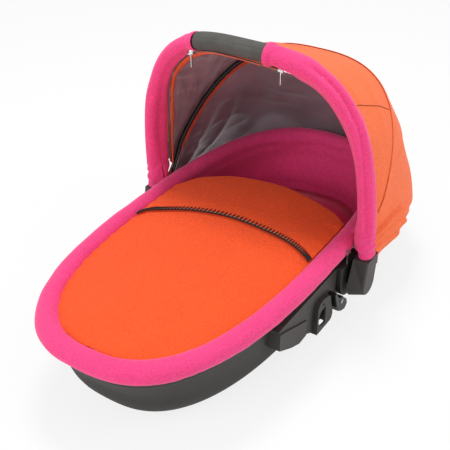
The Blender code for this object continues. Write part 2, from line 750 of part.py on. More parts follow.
def make_handle(group):
    pivot = (0, PIVOT_Y, PIVOT_Z)
    full = HANDLE_RUN[-1]
    grip_start = distance_at_x(GRIP_HALF_LENGTH)
    grip_end = distance_at_x(-GRIP_HALF_LENGTH)
    cover_end = distance_at_x(SLEEVE_COVER_X)
    taper_start = grip_start - SLEEVE_TAPER_LENGTH
    foot = distance_at_foot(SLEEVE_END_Z)
    left_start = grip_end + FIT_GAP
    rounds = [GRIP_END_ROUND * share for share in GRIP_ROUND_SHARES]
    breaks = [0.0, foot, taper_start]
    breaks += [grip_start + step for step in rounds]
    breaks += [cover_end - SLEEVE_HEM_LENGTH, cover_end - SLEEVE_HEM_LENGTH * HEM_FLARE_SHARE]
    breaks += [cover_end]
    breaks += [grip_end - step for step in reversed(rounds)]
    breaks += [left_start, left_start + SLEEVE_HEM_LENGTH * HEM_FLARE_SHARE]
    breaks += [left_start + SLEEVE_HEM_LENGTH, full - foot, full]
    stations = spread_stations(breaks, STATION_SPACING)

    def between(low, high):
        return stations[(stations > low - TINY) & (stations < high + TINY)]

    bore = HANDLE_TUBE_RADIUS + FIT_GAP
    inside = HANDLE_TUBE_RADIUS - HANDLE_TUBE_WALL
    tube = handle_tube_mesh("handle_tube", stations,
                            lambda s: (HANDLE_TUBE_RADIUS, HANDLE_TUBE_RADIUS),
                            lambda s: (inside, inside))
    add_object("handle_tube", tube, group, (METAL, 0.35, 1.0), pivot)

    def grip_outer(s):
        share = min(min(s - grip_start, grip_end - s) / GRIP_END_ROUND, 1.0)
        drop = GRIP_END_DROP * (1 - math.sqrt(max(1 - (1 - share) ** 2, 0.0)))
        return GRIP_RADIUS_IN_PLANE - drop, GRIP_RADIUS_ACROSS - drop

    mesh = handle_tube_mesh("grip", between(grip_start, grip_end), grip_outer,
                            lambda s: (bore, bore))
    add_object("grip", mesh, group, (FOAM_BLACK, 0.8, 0.0), pivot)

    def right_inner(s):
        share = share_between(s, taper_start, grip_start)
        thin = GRIP_RADIUS_IN_PLANE - HANDLE_TUBE_RADIUS
        deep = GRIP_RADIUS_ACROSS - HANDLE_TUBE_RADIUS
        return bore + thin * share, bore + deep * share

    def right_outer(s):
        share = share_between(s, taper_start, grip_start)
        flare = SLEEVE_HEM_FLARE * share_between(
            s, cover_end - SLEEVE_HEM_LENGTH, cover_end - SLEEVE_HEM_LENGTH * HEM_FLARE_SHARE)
        wide = GRIP_RADIUS_IN_PLANE + FIT_GAP + SLEEVE_COVER_WALL
        deep = GRIP_RADIUS_ACROSS + FIT_GAP + SLEEVE_COVER_WALL
        in_plane = SLEEVE_RADIUS_IN_PLANE + (wide - SLEEVE_RADIUS_IN_PLANE) * share
        across = SLEEVE_RADIUS_ACROSS + (deep - SLEEVE_RADIUS_ACROSS) * share
        return in_plane + flare, across + flare

    mesh = handle_tube_mesh("sleeve_right", between(foot, cover_end), right_outer, right_inner)
    add_object("sleeve_right", mesh, group, (PINK, 0.95, 0.0), pivot)

    def left_outer(s):
        flare = SLEEVE_HEM_FLARE * (1 - share_between(
            s, left_start + SLEEVE_HEM_LENGTH * HEM_FLARE_SHARE, left_start + SLEEVE_HEM_LENGTH))
        return SLEEVE_RADIUS_IN_PLANE + flare, SLEEVE_RADIUS_ACROSS + flare

    mesh = handle_tube_mesh("sleeve_left", between(left_start, full - foot), left_outer,
                            lambda s: (bore, bore))
    add_object("sleeve_left", mesh, group, (PINK, 0.95, 0.0), pivot)


def boot_outline(radius, top_half):
    """Round foot about the pivot, with the column that takes the handle's end."""
    low = arc_outline(PIVOT_Y, PIVOT_Z, radius, -math.pi, 0.0, BOOT_ARC_STEPS)
    return low + [(HANDLE_FOOT_Y + top_half, BOOT_TOP_Z), (HANDLE_FOOT_Y - top_half, BOOT_TOP_Z)]


def boot_mesh():
    """Boot that tapers outwards, with a rounded edge round its outer face."""
    stations = [(BOOT_INNER_X, BOOT_INNER_RADIUS, BOOT_TOP_HALF)]
    for step in range(BOOT_EDGE_STEPS + 1):
        turn = math.pi / 2 * step / BOOT_EDGE_STEPS
        draw = BOOT_EDGE_ROUND * (1 - math.cos(turn))
        x = BOOT_FACE_X + (BOOT_OUTER_X - BOOT_FACE_X) * math.sin(turn)
        stations.append((x, BOOT_FACE_RADIUS - draw, BOOT_TOP_HALF - draw))
    rings = [[(x, y, z) for y, z in boot_outline(radius, half)] for x, radius, half in stations]
    return loft("boot_block", rings)


def hub_outline():
    """Disc about the pivot with straight sides up to the tub's ledge."""
    low = arc_outline(PIVOT_Y, PIVOT_Z, HUB_RADIUS, -math.pi, 0.0, BOOT_ARC_STEPS)
    return low + [(PIVOT_Y + HUB_RADIUS, BRACKET_TOP_Z), (PIVOT_Y - HUB_RADIUS, BRACKET_TOP_Z)]


def make_pivots(group, cutters, envelope):
    pivot = (0, PIVOT_Y, PIVOT_Z)
    bore = prism("pin_cutter", disc_outline(PIVOT_Y, PIVOT_Z, PIN_RADIUS + PIN_CLEARANCE),
                 PIN_INNER_X - FIT_GAP, PIN_OUTER_X + FIT_GAP)
    pin_cutter = add_object("pin_cutter", bore, cutters)
    set_apart(pin_cutter)
    plastic = (SHELL_GREY, 0.5, 0.0)

    hub = add_object("hub_right", prism("hub_block", hub_outline(), HUB_INNER_X, HUB_OUTER_X),
                     group, plastic)
    add_bevel(hub, HUB_EDGE_BEVEL)
    add_cut(hub, envelope)
    add_cut(hub, pin_cutter)
    mirror_copy(hub, "hub_left", group, plastic)

    boot = add_object("boot_right", boot_mesh(), group, plastic, pivot)
    stations = (0.0, distance_at_foot(BOOT_TOP_Z + CUT_OVERRUN))
    rings = [handle_section(s, HANDLE_TUBE_RADIUS + FIT_GAP, HANDLE_TUBE_RADIUS + FIT_GAP)
             for s in stations]
    rings[0] = [(x, y, z - FIT_GAP) for x, y, z in rings[0]]
    socket = add_object("tube_socket_cutter", loft("tube_socket_cutter", rings), cutters)
    set_apart(socket)
    add_cut(boot, socket)
    add_cut(boot, pin_cutter)
    mirror_copy(boot, "boot_left", group, plastic)

    pin_mesh = prism("pin", disc_outline(PIVOT_Y, PIVOT_Z, PIN_RADIUS), PIN_INNER_X, PIN_OUTER_X)
    pin = add_object("pivot_pin_right", pin_mesh, group, (METAL, 0.3, 1.0), pivot)
    mirror_copy(pin, "pivot_pin_left", group, (METAL, 0.3, 1.0))

    eye_mesh = prism("eye", disc_outline(PIVOT_Y, PIVOT_Z, EYE_RADIUS), EYE_INNER_X, EYE_OUTER_X)
    eye = add_object("bow_eye_right", eye_mesh, group, (GLOSS_BLACK, 0.3, 0.0), pivot)
    add_cut(eye, pin_cutter)
    mirror_copy(eye, "bow_eye_left", group, (GLOSS_BLACK, 0.3, 0.0))


def bow_line():
    """Bow from its right eye over to its left eye, with straight legs."""
    hoop = fan_hoop(BOW_ANGLE, BOW_HALF_WIDTH, BOW_REACH, BOW_POWER, BOW_LEG_REACH, BOW_STATIONS,
                    leg_x=BOW_LEG_X)
    pivot = np.array([BOW_LEG_X, PIVOT_Y, PIVOT_Z])
    toward = np.array(hoop[0]) - pivot
    start = pivot + toward / np.linalg.norm(toward) * (EYE_RADIUS + FIT_GAP)
    return [tuple(start)] + hoop + [(-start[0], start[1], start[2])]


def wire_mesh(name, points, radius, resolution):
    """Round bar along a line of points, with closed flat ends."""
    curve = bpy.data.curves.new(name, "CURVE")
    curve.dimensions = "3D"
    curve.bevel_depth = radius
    curve.bevel_resolution = resolution
    curve.use_fill_caps = True
    spline = curve.splines.new("POLY")
    spline.points.add(len(points) - 1)
    for target, point in zip(spline.points, points):
        target.co = (*point, 1.0)
    carrier = bpy.data.objects.new(name + "_carrier", curve)
    bpy.context.scene.collection.objects.link(carrier)
    mesh = evaluated_mesh(carrier)
    bpy.data.objects.remove(carrier, do_unlink=True)
    bpy.data.curves.remove(curve)
    work = bmesh.new()
    work.from_mesh(mesh)
    bmesh.ops.remove_doubles(work, verts=work.verts, dist=TINY)
    bmesh.ops.recalc_face_normals(work, faces=work.faces)
    work.to_mesh(mesh)
    work.free()
    return mesh


def front_edge():
    """Front hem of the canopy: inside the handle's line, and behind its plane."""
    start = distance_at_height(FRONT_START_Z)
    points = []
    for distance in np.linspace(start, HANDLE_RUN[-1] - start, HOOP_COLUMNS + 1):
        middle, inward = handle_frame(distance)
        to_right = ease_between(middle[0], *EDGE_INSET_X)
        inset = EDGE_INSET_LEFT + (EDGE_INSET_RIGHT - EDGE_INSET_LEFT) * to_right
        to_top = ease_between(middle[2], *EDGE_BACK_Z)
        back = EDGE_BACK_FOOT + (EDGE_BACK_TOP - EDGE_BACK_FOOT) * to_top
        points.append(tuple(middle + inward * inset + HANDLE_NORMAL * back))
    return points


def outward_from_fan(line):
    """Unit directions away from the fan's middle, and each point's reach from its axis."""
    radial = line - np.array([0.0, FAN_Y, FAN_Z])
    reach = np.hypot(radial[:, 1], radial[:, 2])
    return radial / np.linalg.norm(radial, axis=1)[:, None], reach


def rear_bulge(share):
    return math.sin(math.pi / 2 * min(share * REAR_BULGE_RATE, 1.0))


def make_canopy(group):
    pivot = (0, PIVOT_Y, PIVOT_Z)
    bow = wire_mesh("canopy_bow", bow_line(), BOW_RADIUS, 3)
    add_object("canopy_bow", bow, group, (GLOSS_BLACK, 0.25, 0.0), pivot)

    cover_width = BOW_HALF_WIDTH + BOW_COVER_OFFSET
    cover_reach = BOW_REACH + BOW_COVER_OFFSET
    cover_leg = BOW_LEG_X + BOW_COVER_OFFSET
    first = np.array(front_edge())
    last = np.array(fan_hoop(BOW_ANGLE, cover_width, cover_reach, BOW_POWER, BOW_LEG_REACH,
                             across=-SEAM_GAP / 2, leg_x=cover_leg))
    grid = []
    for row in range(FRONT_ROWS + 1):
        share = row / FRONT_ROWS
        line = first + (last - first) * share
        radial, reach = outward_from_fan(line)
        swell = FRONT_SWELL * math.sin(math.pi * share) * np.clip(reach / BOW_REACH, 0, 1) ** 2
        grid.append(line + radial * swell[:, None])
    mesh = sheet("canopy_front", grid, CLOTH_THICKNESS)
    add_object("canopy_front", mesh, group, (CANOPY_ORANGE, 0.85, 0.0), pivot)

    grid = []
    for row in range(REAR_ROWS + 1):
        share = row / REAR_ROWS
        angle = BOW_ANGLE + (REAR_HEM_ANGLE - BOW_ANGLE) * share
        bulge = rear_bulge(share)
        sink = REAR_SINK * math.sin(math.pi * share)
        line = np.array(fan_hoop(angle, cover_width + REAR_BULGE_WIDTH * bulge - sink,
                                 cover_reach + REAR_BULGE_REACH * bulge - sink,
                                 BOW_POWER + REAR_POWER_RISE * bulge, REAR_START,
                                 across=SEAM_GAP / 2 if row == 0 else 0.0,
                                 leg_x=cover_leg + REAR_BULGE_WIDTH * bulge))
        radial, reach = outward_from_fan(line)
        wave = np.cos(2 * math.pi * HEM_FOLD_COUNT * np.linspace(0, 1, len(line)))
        reached = np.array([share_between(r, *HEM_FOLD_REACH) for r in reach])
        depth = HEM_FOLD_DEPTH * share_between(share, *HEM_FOLD_SHARES) * reached
        droop = np.array([1 - ease_between(r, BOW_LEG_REACH, DROOP_END_REACH) for r in reach])
        line = line + radial * (wave * depth)[:, None]
        line[:, 2] -= REAR_DROOP * share ** 2 * droop
        grid.append(line)
    mesh = sheet("canopy_rear", grid, CLOTH_THICKNESS)
    add_object("canopy_rear", mesh, group, (CANOPY_ORANGE, 0.85, 0.0), pivot)


def slider_mesh(name, place, along_x, tilt=0.0):
    """Slider body, its length along X, turned by tilt, or along Y."""
    sides = (SLIDER_LENGTH, SLIDER_WIDTH) if along_x else (SLIDER_WIDTH, SLIDER_LENGTH)
    half = (sides[0] / 2, sides[1] / 2, SLIDER_HEIGHT / 2)
    mesh = box_mesh(name, [-h for h in half], half)
    mesh.transform(Matrix.Translation(place) @ Matrix.Rotation(-tilt, 4, "Y"))
    return mesh


def loop_points(place, radius):
    points = []
    for step in range(LOOP_STEPS + 1):
        turn = math.pi * step / LOOP_STEPS
        points.append((place[0] + radius * math.cos(turn), place[1],
                       place[2] - radius * math.sin(turn) * LOOP_STRETCH))
    return points


def pull_outline(top):
    """Waisted tag, from its upper end down, as (across, height) points."""
    side = [(PULL_WIDTH / 2 * wide, top - PULL_LENGTH * down) for wide, down in PULL_OUTLINE_SHARES]
    return side + [(-across, height) for across, height in reversed(side)]


def add_zip_end(group, side_name, prefix, place, along_x=True, tilt=0.0):
    """Slider with its loop below, and the pull tag that hangs from the loop."""
    metal = (METAL, 0.25, 1.0)
    cutters = bpy.data.collections[CUTTER_NAME]
    body = slider_mesh(prefix + "slider", place, along_x, tilt)
    hang = (place[0], place[1], place[2] - SLIDER_HEIGHT / 2 + SLIDER_LOOP_WIRE)
    loop = wire_mesh(prefix + "loop", loop_points(hang, SLIDER_LOOP_RADIUS), SLIDER_LOOP_WIRE, 1)
    slider = add_object(prefix + "slider_" + side_name, body, group, metal)
    loop_item = add_object(prefix + "loop_" + side_name, loop, cutters)
    set_apart(loop_item)
    add_cut(slider, loop_item, "UNION")
    low = hang[2] - SLIDER_LOOP_RADIUS * LOOP_STRETCH
    tag_name = prefix + "pull_" + side_name
    outline = pull_outline(low + PULL_HOLE_RADIUS + SLIDER_LOOP_WIRE + PULL_TIP)
    rings = [[(place[0] + across * PULL_THICKNESS / 2, place[1] + a, z) for a, z in outline]
             for across in (-1, 1)]
    pivot = (place[0], place[1], low)
    item = add_object(tag_name, loft(tag_name, rings), group, metal, pivot)
    hole = prism("hole", disc_outline(0.0, 0.0, PULL_HOLE_RADIUS, PULL_HOLE_SEGMENTS),
                 -PULL_WIDTH, PULL_WIDTH)
    cutter = add_object(tag_name + "_hole", hole, cutters)
    cutter.location = pivot
    set_apart(cutter)
    add_cut(item, cutter)
    return item


def rim_half_width(y):
    return RIM_HALF_WIDTH * (1 - (abs(y) / RIM_HALF_LENGTH) ** RIM_POWER) ** (1 / RIM_POWER)


def make_zips(group):
    edge = np.array(front_edge())
    coil_line = edge - HANDLE_NORMAL * (ZIP_EDGE_GAP + ZIP_RADIUS)
    coil_line = coil_line[np.argsort(coil_line[:, 0])]
    coil_line = coil_line[coil_line[:, 2] > ZIP_START_Z]
    for x, side, sign in ((LEFT_SLIDER_X, "left", -1), (RIGHT_SLIDER_X, "right", 1)):
        def at(along):
            return np.array([np.interp(along, coil_line[:, 0], coil_line[:, k]) for k in range(3)])

        place = at(x)
        stop = at(x + sign * (SLIDER_LENGTH / 2 + FIT_GAP))
        slope = at(x + SLIDER_LENGTH / 2) - at(x - SLIDER_LENGTH / 2)
        tilt = math.atan2(slope[2], slope[0])
        run = coil_line[(coil_line[:, 0] - x) * sign > SLIDER_LENGTH]
        run = np.vstack([run, stop]) if side == "left" else np.vstack([stop, run])
        mesh = wire_mesh("zip_coil_" + side, [tuple(p) for p in run], ZIP_RADIUS, 1)
        add_object("zip_coil_" + side, mesh, group, (METAL, 0.5, 0.0), (0, PIVOT_Y, PIVOT_Z))
        add_zip_end(group, side, "zip_", (place[0], place[1], place[2] - SLIDER_DROP), tilt=tilt)
    for sign, side in ((1, "right"), (-1, "left")):
        x = rim_half_width(RIM_SLIDER_Y) + ROLL_RADIUS + SLIDER_WIDTH / 2
        place = (sign * x, RIM_SLIDER_Y, RIM_HEIGHT + RIM_SLIDER_LIFT)
        add_zip_end(group, side, "rim_", place, along_x=False)


def placed_shares(shares, y_span, z_span):
    """Outline points given as shares of a length along Y and a height along Z."""
    return [(y_span[0] + (y_span[1] - y_span[0]) * a, z_span[0] + (z_span[1] - z_span[0]) * b)
            for a, b in shares]


def slot_outline():
    """D-shaped opening: straight towards the head, bowed towards the foot."""
    half = (SLOT_Z[1] - SLOT_Z[0]) / 2
    points = []
    for step in range(SLOT_STEPS + 1):
        turn = math.pi / 2 + math.pi * step / SLOT_STEPS
        y = SLOT_HEAD_Y + SLOT_WIDTH * signed_power(min(math.cos(turn), 0.0), 2 / SLOT_POWER)
        points.append((y, SLOT_Z[0] + half + half * signed_power(math.sin(turn), 2 / SLOT_POWER)))
    return points


def bracket_blocks():
    """Outlines that make up the bracket, each with the X of its outer face."""
    plate_edge = placed_shares(PLATE_EDGE_SHARES, PLATE_Y, (PLATE_LOW_Z, BRACKET_TOP_Z))
    upper = plate_edge + [(PLATE_Y[1], BRACKET_TOP_Z), (PLATE_Y[0], BRACKET_TOP_Z)]
    lower = plate_edge + [(PLATE_Y[1], CREASE_Z[1]), (PLATE_Y[0], CREASE_Z[0])]
    recess = [(PLATE_Y[1] - FIT_GAP, RECESS_LOW_Z[0]), (ARCH_Y[0] + FIT_GAP, RECESS_LOW_Z[1]),
              (ARCH_Y[0] + FIT_GAP, BRACKET_TOP_Z), (PLATE_Y[1] - FIT_GAP, BRACKET_TOP_Z)]
    arch = placed_shares(ARCH_SHARES, ARCH_Y, ARCH_Z)
    back = [(ARCH_Y[0], ARCH_Z[0]), (TAIL_Y[0] + FIT_GAP, TAIL_LOW_Z),
            (TAIL_Y[0] + FIT_GAP, BRACKET_TOP_Z), (ARCH_Y[0], BRACKET_TOP_Z)]
    tail = [(TAIL_Y[0], TAIL_LOW_Z), (TAIL_Y[1], TAIL_LOW_Z), (TAIL_Y[1], TAIL_NECK_Z[0]),
            (TAIL_NECK_Y, TAIL_NECK_Z[1]), (TAIL_NECK_Y, BRACKET_TOP_Z), (TAIL_Y[0], BRACKET_TOP_Z)]
    return [("plate_block", upper, BRACKET_OUTER_X), ("crease_block", lower, PLATE_OUTER_X),
            ("recess_block", recess, BRACKET_OUTER_X), ("arch_block", arch, ARCH_OUTER_X),
            ("back_block", back, BRACKET_OUTER_X), ("tail_block", tail, BRACKET_OUTER_X)]


def make_brackets(group, cutters, envelope):
    plastic = (SHELL_GREY, 0.6, 0.0)
    name, outline, outer = bracket_blocks()[0]
    bracket = add_object("side_bracket_right", prism(name, outline, BRACKET_INNER_X, outer),
                         group, plastic)
    for name, outline, outer in bracket_blocks()[1:]:
        block = add_object(name, prism(name, outline, BRACKET_INNER_X, outer), cutters)
        set_apart(block)
        add_cut(bracket, block, "UNION")
    notch = placed_shares(NOTCH_SHARES, (NOTCH_Y, NOTCH_Y + NOTCH_SIZE),
                          (NOTCH_Z, NOTCH_Z + NOTCH_SIZE))
    latch_bore = disc_outline(LATCH_Y, LATCH_Z, LATCH_PIN_RADIUS + PIN_CLEARANCE)
    cuts = [("socket_cutter", box_mesh("socket", (SOCKET_X[0], SOCKET_Y[0], ARCH_Z[0] - CUT_OVERRUN),
                                       (SOCKET_X[1], SOCKET_Y[1], SOCKET_TOP_Z))),
            ("slot_cutter", prism("slot", slot_outline(), SOCKET_X[1] - CUT_OVERRUN,
                                  ARCH_OUTER_X + CUT_OVERRUN)),
            ("notch_cutter", prism("notch", notch, ARCH_OUTER_X - NOTCH_DEPTH,
                                   ARCH_OUTER_X + CUT_OVERRUN)),
            ("latch_bore_cutter", prism("latch_bore", latch_bore, BRACKET_OUTER_X - CUT_OVERRUN,
                                        BRACKET_OUTER_X + CUT_OVERRUN))]
    for name, mesh in cuts:
        cutter = add_object(name, mesh, cutters)
        set_apart(cutter)
        add_cut(bracket, cutter)
    add_cut(bracket, envelope)
    mirror_copy(bracket, "side_bracket_left", group, plastic)


def latch_outline():
    """Curved lever: tip and belly as shares of its span about the pin, and a round boss."""
    spans = ((LATCH_Y, LATCH_Y + LATCH_SPAN), (LATCH_Z, LATCH_Z + LATCH_SPAN))
    boss = arc_outline(LATCH_Y, LATCH_Z, LATCH_BOSS_RADIUS, *LATCH_BOSS_ARC, LATCH_ARC_STEPS)
    return boss + placed_shares(LATCH_TIP_SHARES + LATCH_BELLY_SHARES, *spans)


def make_latches(group, cutters):
    gloss = (GLOSS_BLACK, 0.12, 0.0)
    latch = add_object("latch_right",
                       prism("latch", latch_outline(), LATCH_INNER_X, LATCH_OUTER_X), group,
                       gloss, (0, LATCH_Y, LATCH_Z))
    bore = prism("latch_hole", disc_outline(LATCH_Y, LATCH_Z, LATCH_PIN_RADIUS + PIN_CLEARANCE),
                 LATCH_INNER_X - CUT_OVERRUN, LATCH_OUTER_X + CUT_OVERRUN)
    hole = add_object("latch_hole_cutter", bore, cutters)
    set_apart(hole)
    add_cut(latch, hole)
    add_bevel(latch, LATCH_EDGE_BEVEL, 1, math.radians(60))
    mirror_copy(latch, "latch_left", group, gloss)

    steel = (METAL, 0.3, 1.0)
    head_x = LATCH_OUTER_X + FIT_GAP
    shaft = prism("latch_shaft", disc_outline(LATCH_Y, LATCH_Z, LATCH_PIN_RADIUS),
                  BRACKET_OUTER_X - LATCH_PIN_DEPTH, head_x)
    pin = add_object("latch_pin_right", shaft, group, steel)
    head = prism("latch_head", disc_outline(LATCH_Y, LATCH_Z, LATCH_PIN_HEAD_RADIUS),
                 head_x, head_x + LATCH_PIN_HEAD)
    head_item = add_object("latch_head_block", head, cutters)
    set_apart(head_item)
    add_cut(pin, head_item, "UNION")
    mirror_copy(pin, "latch_pin_left", group, steel)


def make_tabs(group):
    """Webbing tab that hangs from the canopy's hem behind each hub."""
    top = FAN_Z - REAR_DROOP - TAB_GAP
    middle_y = FAN_Y + TAB_REACH
    points = [(middle_y - TAB_WIDTH / 2, top), (middle_y + TAB_WIDTH / 2, top),
              (middle_y + TAB_WIDTH / 2, top - TAB_LENGTH), (middle_y - TAB_WIDTH / 2, top - TAB_LENGTH)]
    low_x = BOW_LEG_X + BOW_COVER_OFFSET + REAR_BULGE_WIDTH * rear_bulge(1.0) - TAB_THICKNESS / 2
    tab = add_object("hem_tab_right", prism("tab", points, low_x, low_x + TAB_THICKNESS), group,
                     (TAB_RED, 0.9, 0.0), (0, PIVOT_Y, PIVOT_Z))
    add_bevel(tab, TAB_EDGE_BEVEL, 2)
    mirror_copy(tab, "hem_tab_left", group, (TAB_RED, 0.9, 0.0))


def main():
    clear_scene()
    group = new_collection(COLLECTION_NAME)
    cutters = new_collection(CUTTER_NAME)
    envelope = make_tub(group, cutters)
    make_liner(group)
    make_mattress(group)
    make_roll(group)
    make_apron(group)
    make_handle(group)
    make_pivots(group, cutters, envelope)
    make_canopy(group)
    make_zips(group)
    make_brackets(group, cutters, envelope)
    make_latches(group, cutters)
    make_tabs(group)


main()
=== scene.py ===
"""Carrycot: felt-covered rim and sleeves, apron, lined canopy, moulded tub."""
import math

import bmesh
import bpy
import numpy as np
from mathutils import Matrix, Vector, noise


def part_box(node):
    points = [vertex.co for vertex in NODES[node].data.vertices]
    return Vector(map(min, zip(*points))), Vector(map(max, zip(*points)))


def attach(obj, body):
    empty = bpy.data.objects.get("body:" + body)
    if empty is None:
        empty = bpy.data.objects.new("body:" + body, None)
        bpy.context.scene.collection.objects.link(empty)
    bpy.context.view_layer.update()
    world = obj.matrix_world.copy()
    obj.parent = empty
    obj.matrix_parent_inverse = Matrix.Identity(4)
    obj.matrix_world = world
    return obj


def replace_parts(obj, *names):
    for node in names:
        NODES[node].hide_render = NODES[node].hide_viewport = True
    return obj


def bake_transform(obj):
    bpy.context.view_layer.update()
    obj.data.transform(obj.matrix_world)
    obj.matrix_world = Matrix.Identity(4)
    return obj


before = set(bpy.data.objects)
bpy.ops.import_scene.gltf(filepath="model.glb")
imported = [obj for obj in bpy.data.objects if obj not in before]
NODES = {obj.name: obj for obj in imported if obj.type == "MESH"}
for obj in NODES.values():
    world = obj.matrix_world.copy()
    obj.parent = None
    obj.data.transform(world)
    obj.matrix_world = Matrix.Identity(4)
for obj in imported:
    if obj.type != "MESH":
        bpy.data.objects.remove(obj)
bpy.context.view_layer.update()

# Rim and tub: half lengths, half widths and heights, as the solids have them.
RIM_LENGTH, RIM_WIDTH, RIM_POWER = 0.382, 0.1755, 2.73
RIM_Z, ROLL = 0.145, 0.018
BASE_LENGTH, BASE_WIDTH, BASE_SHIFT, BASE_POWER = 0.286, 0.101, 0.0075, 2.5
BILGE, LEDGE_Z, BAND, LIP, WALL_TOP = 0.070, 0.117, 0.0025, 0.004, 0.1302
SHELL, LINER_OUT, LINER_IN = 0.003, 0.0036, 0.0096
# The apron's edge height and crown, and how far in from the rim's line its edge tucks.
APRON_Z, APRON_CROWN, APRON_INSET = 0.149, 0.016, 0.0142
# Handle hoop and what it carries.
FOOT_Y, FOOT_Z, RISE, LEAN = 0.0755, 0.136, 0.3176, math.radians(4.3)
FOOT_WIDTH, TOP_WIDTH, HOOP_POWER, TUBE_END_Z = 0.2172, 0.2025, 3.57, 0.1113
SLEEVE_END_Z, SLEEVE_IN, SLEEVE_ACROSS = 0.1310, 0.0136, 0.0168
# Canopy fan, seen from the side about a line near the pivot.
FAN = np.array([0.0, 0.075, 0.120])
BOW_ANGLE, HEM_ANGLE = math.radians(40.7), math.radians(90.0)
BOW_WIDTH, BOW_REACH, BOW_POWER, LEG_X = 0.2072, 0.3264, 2.74, 0.1985
COVER = 0.0062


# Materials

def shader(name, colour, roughness, metallic=0.0, sheen=0.0):
    """A new material; returns it, its tree, its main shader and the place on the piece."""
    material = bpy.data.materials.new(name)
    material.use_nodes = True
    material.diffuse_color = (*colour, 1.0)
    tree = material.node_tree
    main = tree.nodes["Principled BSDF"]
    main.inputs["Base Color"].default_value = (*colour, 1.0)
    main.inputs["Roughness"].default_value = roughness
    main.inputs["Metallic"].default_value = metallic
    main.inputs["Sheen Weight"].default_value = sheen
    main.inputs["Sheen Roughness"].default_value = 0.4
    return material, tree, main, tree.nodes.new("ShaderNodeTexCoord").outputs["Object"]


def speckle(tree, place, scale, detail=2.0, rough=0.6):
    """Noise over the piece; scale is in spots a metre."""
    grain = tree.nodes.new("ShaderNodeTexNoise")
    grain.inputs["Scale"].default_value = scale
    grain.inputs["Detail"].default_value = detail
    grain.inputs["Roughness"].default_value = rough
    tree.links.new(place, grain.inputs["Vector"])
    return grain.outputs["Fac"]


def ramp(tree, value, stops):
    """Colour by value, from stops of (position, colour)."""
    made = tree.nodes.new("ShaderNodeValToRGB")
    while len(made.color_ramp.elements) > len(stops):
        made.color_ramp.elements.remove(made.color_ramp.elements[-1])
    while len(made.color_ramp.elements) < len(stops):
        made.color_ramp.elements.new(0.5)
    for element, (position, colour) in zip(made.color_ramp.elements, stops):
        element.position = position
        element.color = (*colour, 1.0)
    tree.links.new(value, made.inputs["Fac"])
    return made.outputs["Color"]


def tinted(tree, first, second):
    """One colour multiplied by another."""
    made = tree.nodes.new("ShaderNodeMix")
    made.data_type = "RGBA"
    made.blend_type = "MULTIPLY"
    made.inputs["Factor"].default_value = 1.0
    tree.links.new(first, made.inputs[6])
    tree.links.new(second, made.inputs[7])
    return made.outputs[2]


def added(tree, first, second, share):
    """The first value plus a share of the second."""
    made = tree.nodes.new("ShaderNodeMath")
    made.operation = "MULTIPLY_ADD"
    tree.links.new(second, made.inputs[0])
    made.inputs[1].default_value = share
    tree.links.new(first, made.inputs[2])
    return made.outputs[0]


def spread(tree, value, low, high):
    """Maps 0 to 1 onto low to high."""
    made = tree.nodes.new("ShaderNodeMapRange")
    made.inputs["To Min"].default_value = low
    made.inputs["To Max"].default_value = high
    tree.links.new(value, made.inputs["Value"])
    return made.outputs["Result"]


def relief(tree, main, height, strength, distance):
    bump = tree.nodes.new("ShaderNodeBump")
    bump.inputs["Strength"].default_value = strength
    bump.inputs["Distance"].default_value = distance
    tree.links.new(height, bump.inputs["Height"])
    tree.links.new(bump.outputs["Normal"], main.inputs["Normal"])


def scaled(colour, amount):
    return tuple(min(1.0, part * amount) for part in colour)


def felt(name, colour, depth=0.16, sheen=0.2):
    """Short-napped felt: fine grain, faint blotches, soft sheen."""
    material, tree, main, place = shader(name, colour, 0.95, sheen=sheen)
    fine = speckle(tree, place, 560.0, 3.0)
    coarse = speckle(tree, place, 160.0, 3.0)
    broad = speckle(tree, place, 22.0, 2.0)
    grain = ramp(tree, added(tree, fine, coarse, 0.15),
                 [(0.45, scaled(colour, 1 - depth)), (0.70, scaled(colour, 1 + depth * 0.6))])
    patch = ramp(tree, broad, [(0.3, (0.95, 0.94, 0.94)), (0.7, (1.0, 1.0, 1.0))])
    tree.links.new(tinted(tree, grain, patch), main.inputs["Base Color"])
    relief(tree, main, added(tree, fine, coarse, 0.5), 0.3, 0.0006)
    return material


def plain_weave(name, colour, depth=0.10):
    """Close plain weave: crossed threads with a little slub."""
    material, tree, main, place = shader(name, colour, 0.78, sheen=0.06)
    fine = speckle(tree, place, 900.0, 2.0)
    slub = speckle(tree, place, 210.0, 3.0)
    grain = ramp(tree, added(tree, fine, slub, 0.5),
                 [(0.55, scaled(colour, 1 - depth)), (0.98, scaled(colour, 1 + depth * 0.7))])
    tree.links.new(grain, main.inputs["Base Color"])
    waves = []
    for axis in ("X", "Z"):
        wave = tree.nodes.new("ShaderNodeTexWave")
        wave.bands_direction = axis
        wave.inputs["Scale"].default_value = 420.0
        tree.links.new(place, wave.inputs["Vector"])
        waves.append(wave.outputs["Fac"])
    relief(tree, main, added(tree, added(tree, waves[0], waves[1], 1.0), slub, 1.5), 0.25, 0.0004)
    return material


# Heights over which painted shade on the lining fades: full at the lower, gone at the upper.
PAINTED_SHADE_FULL_Z, PAINTED_SHADE_END_Z = 0.15, 0.30


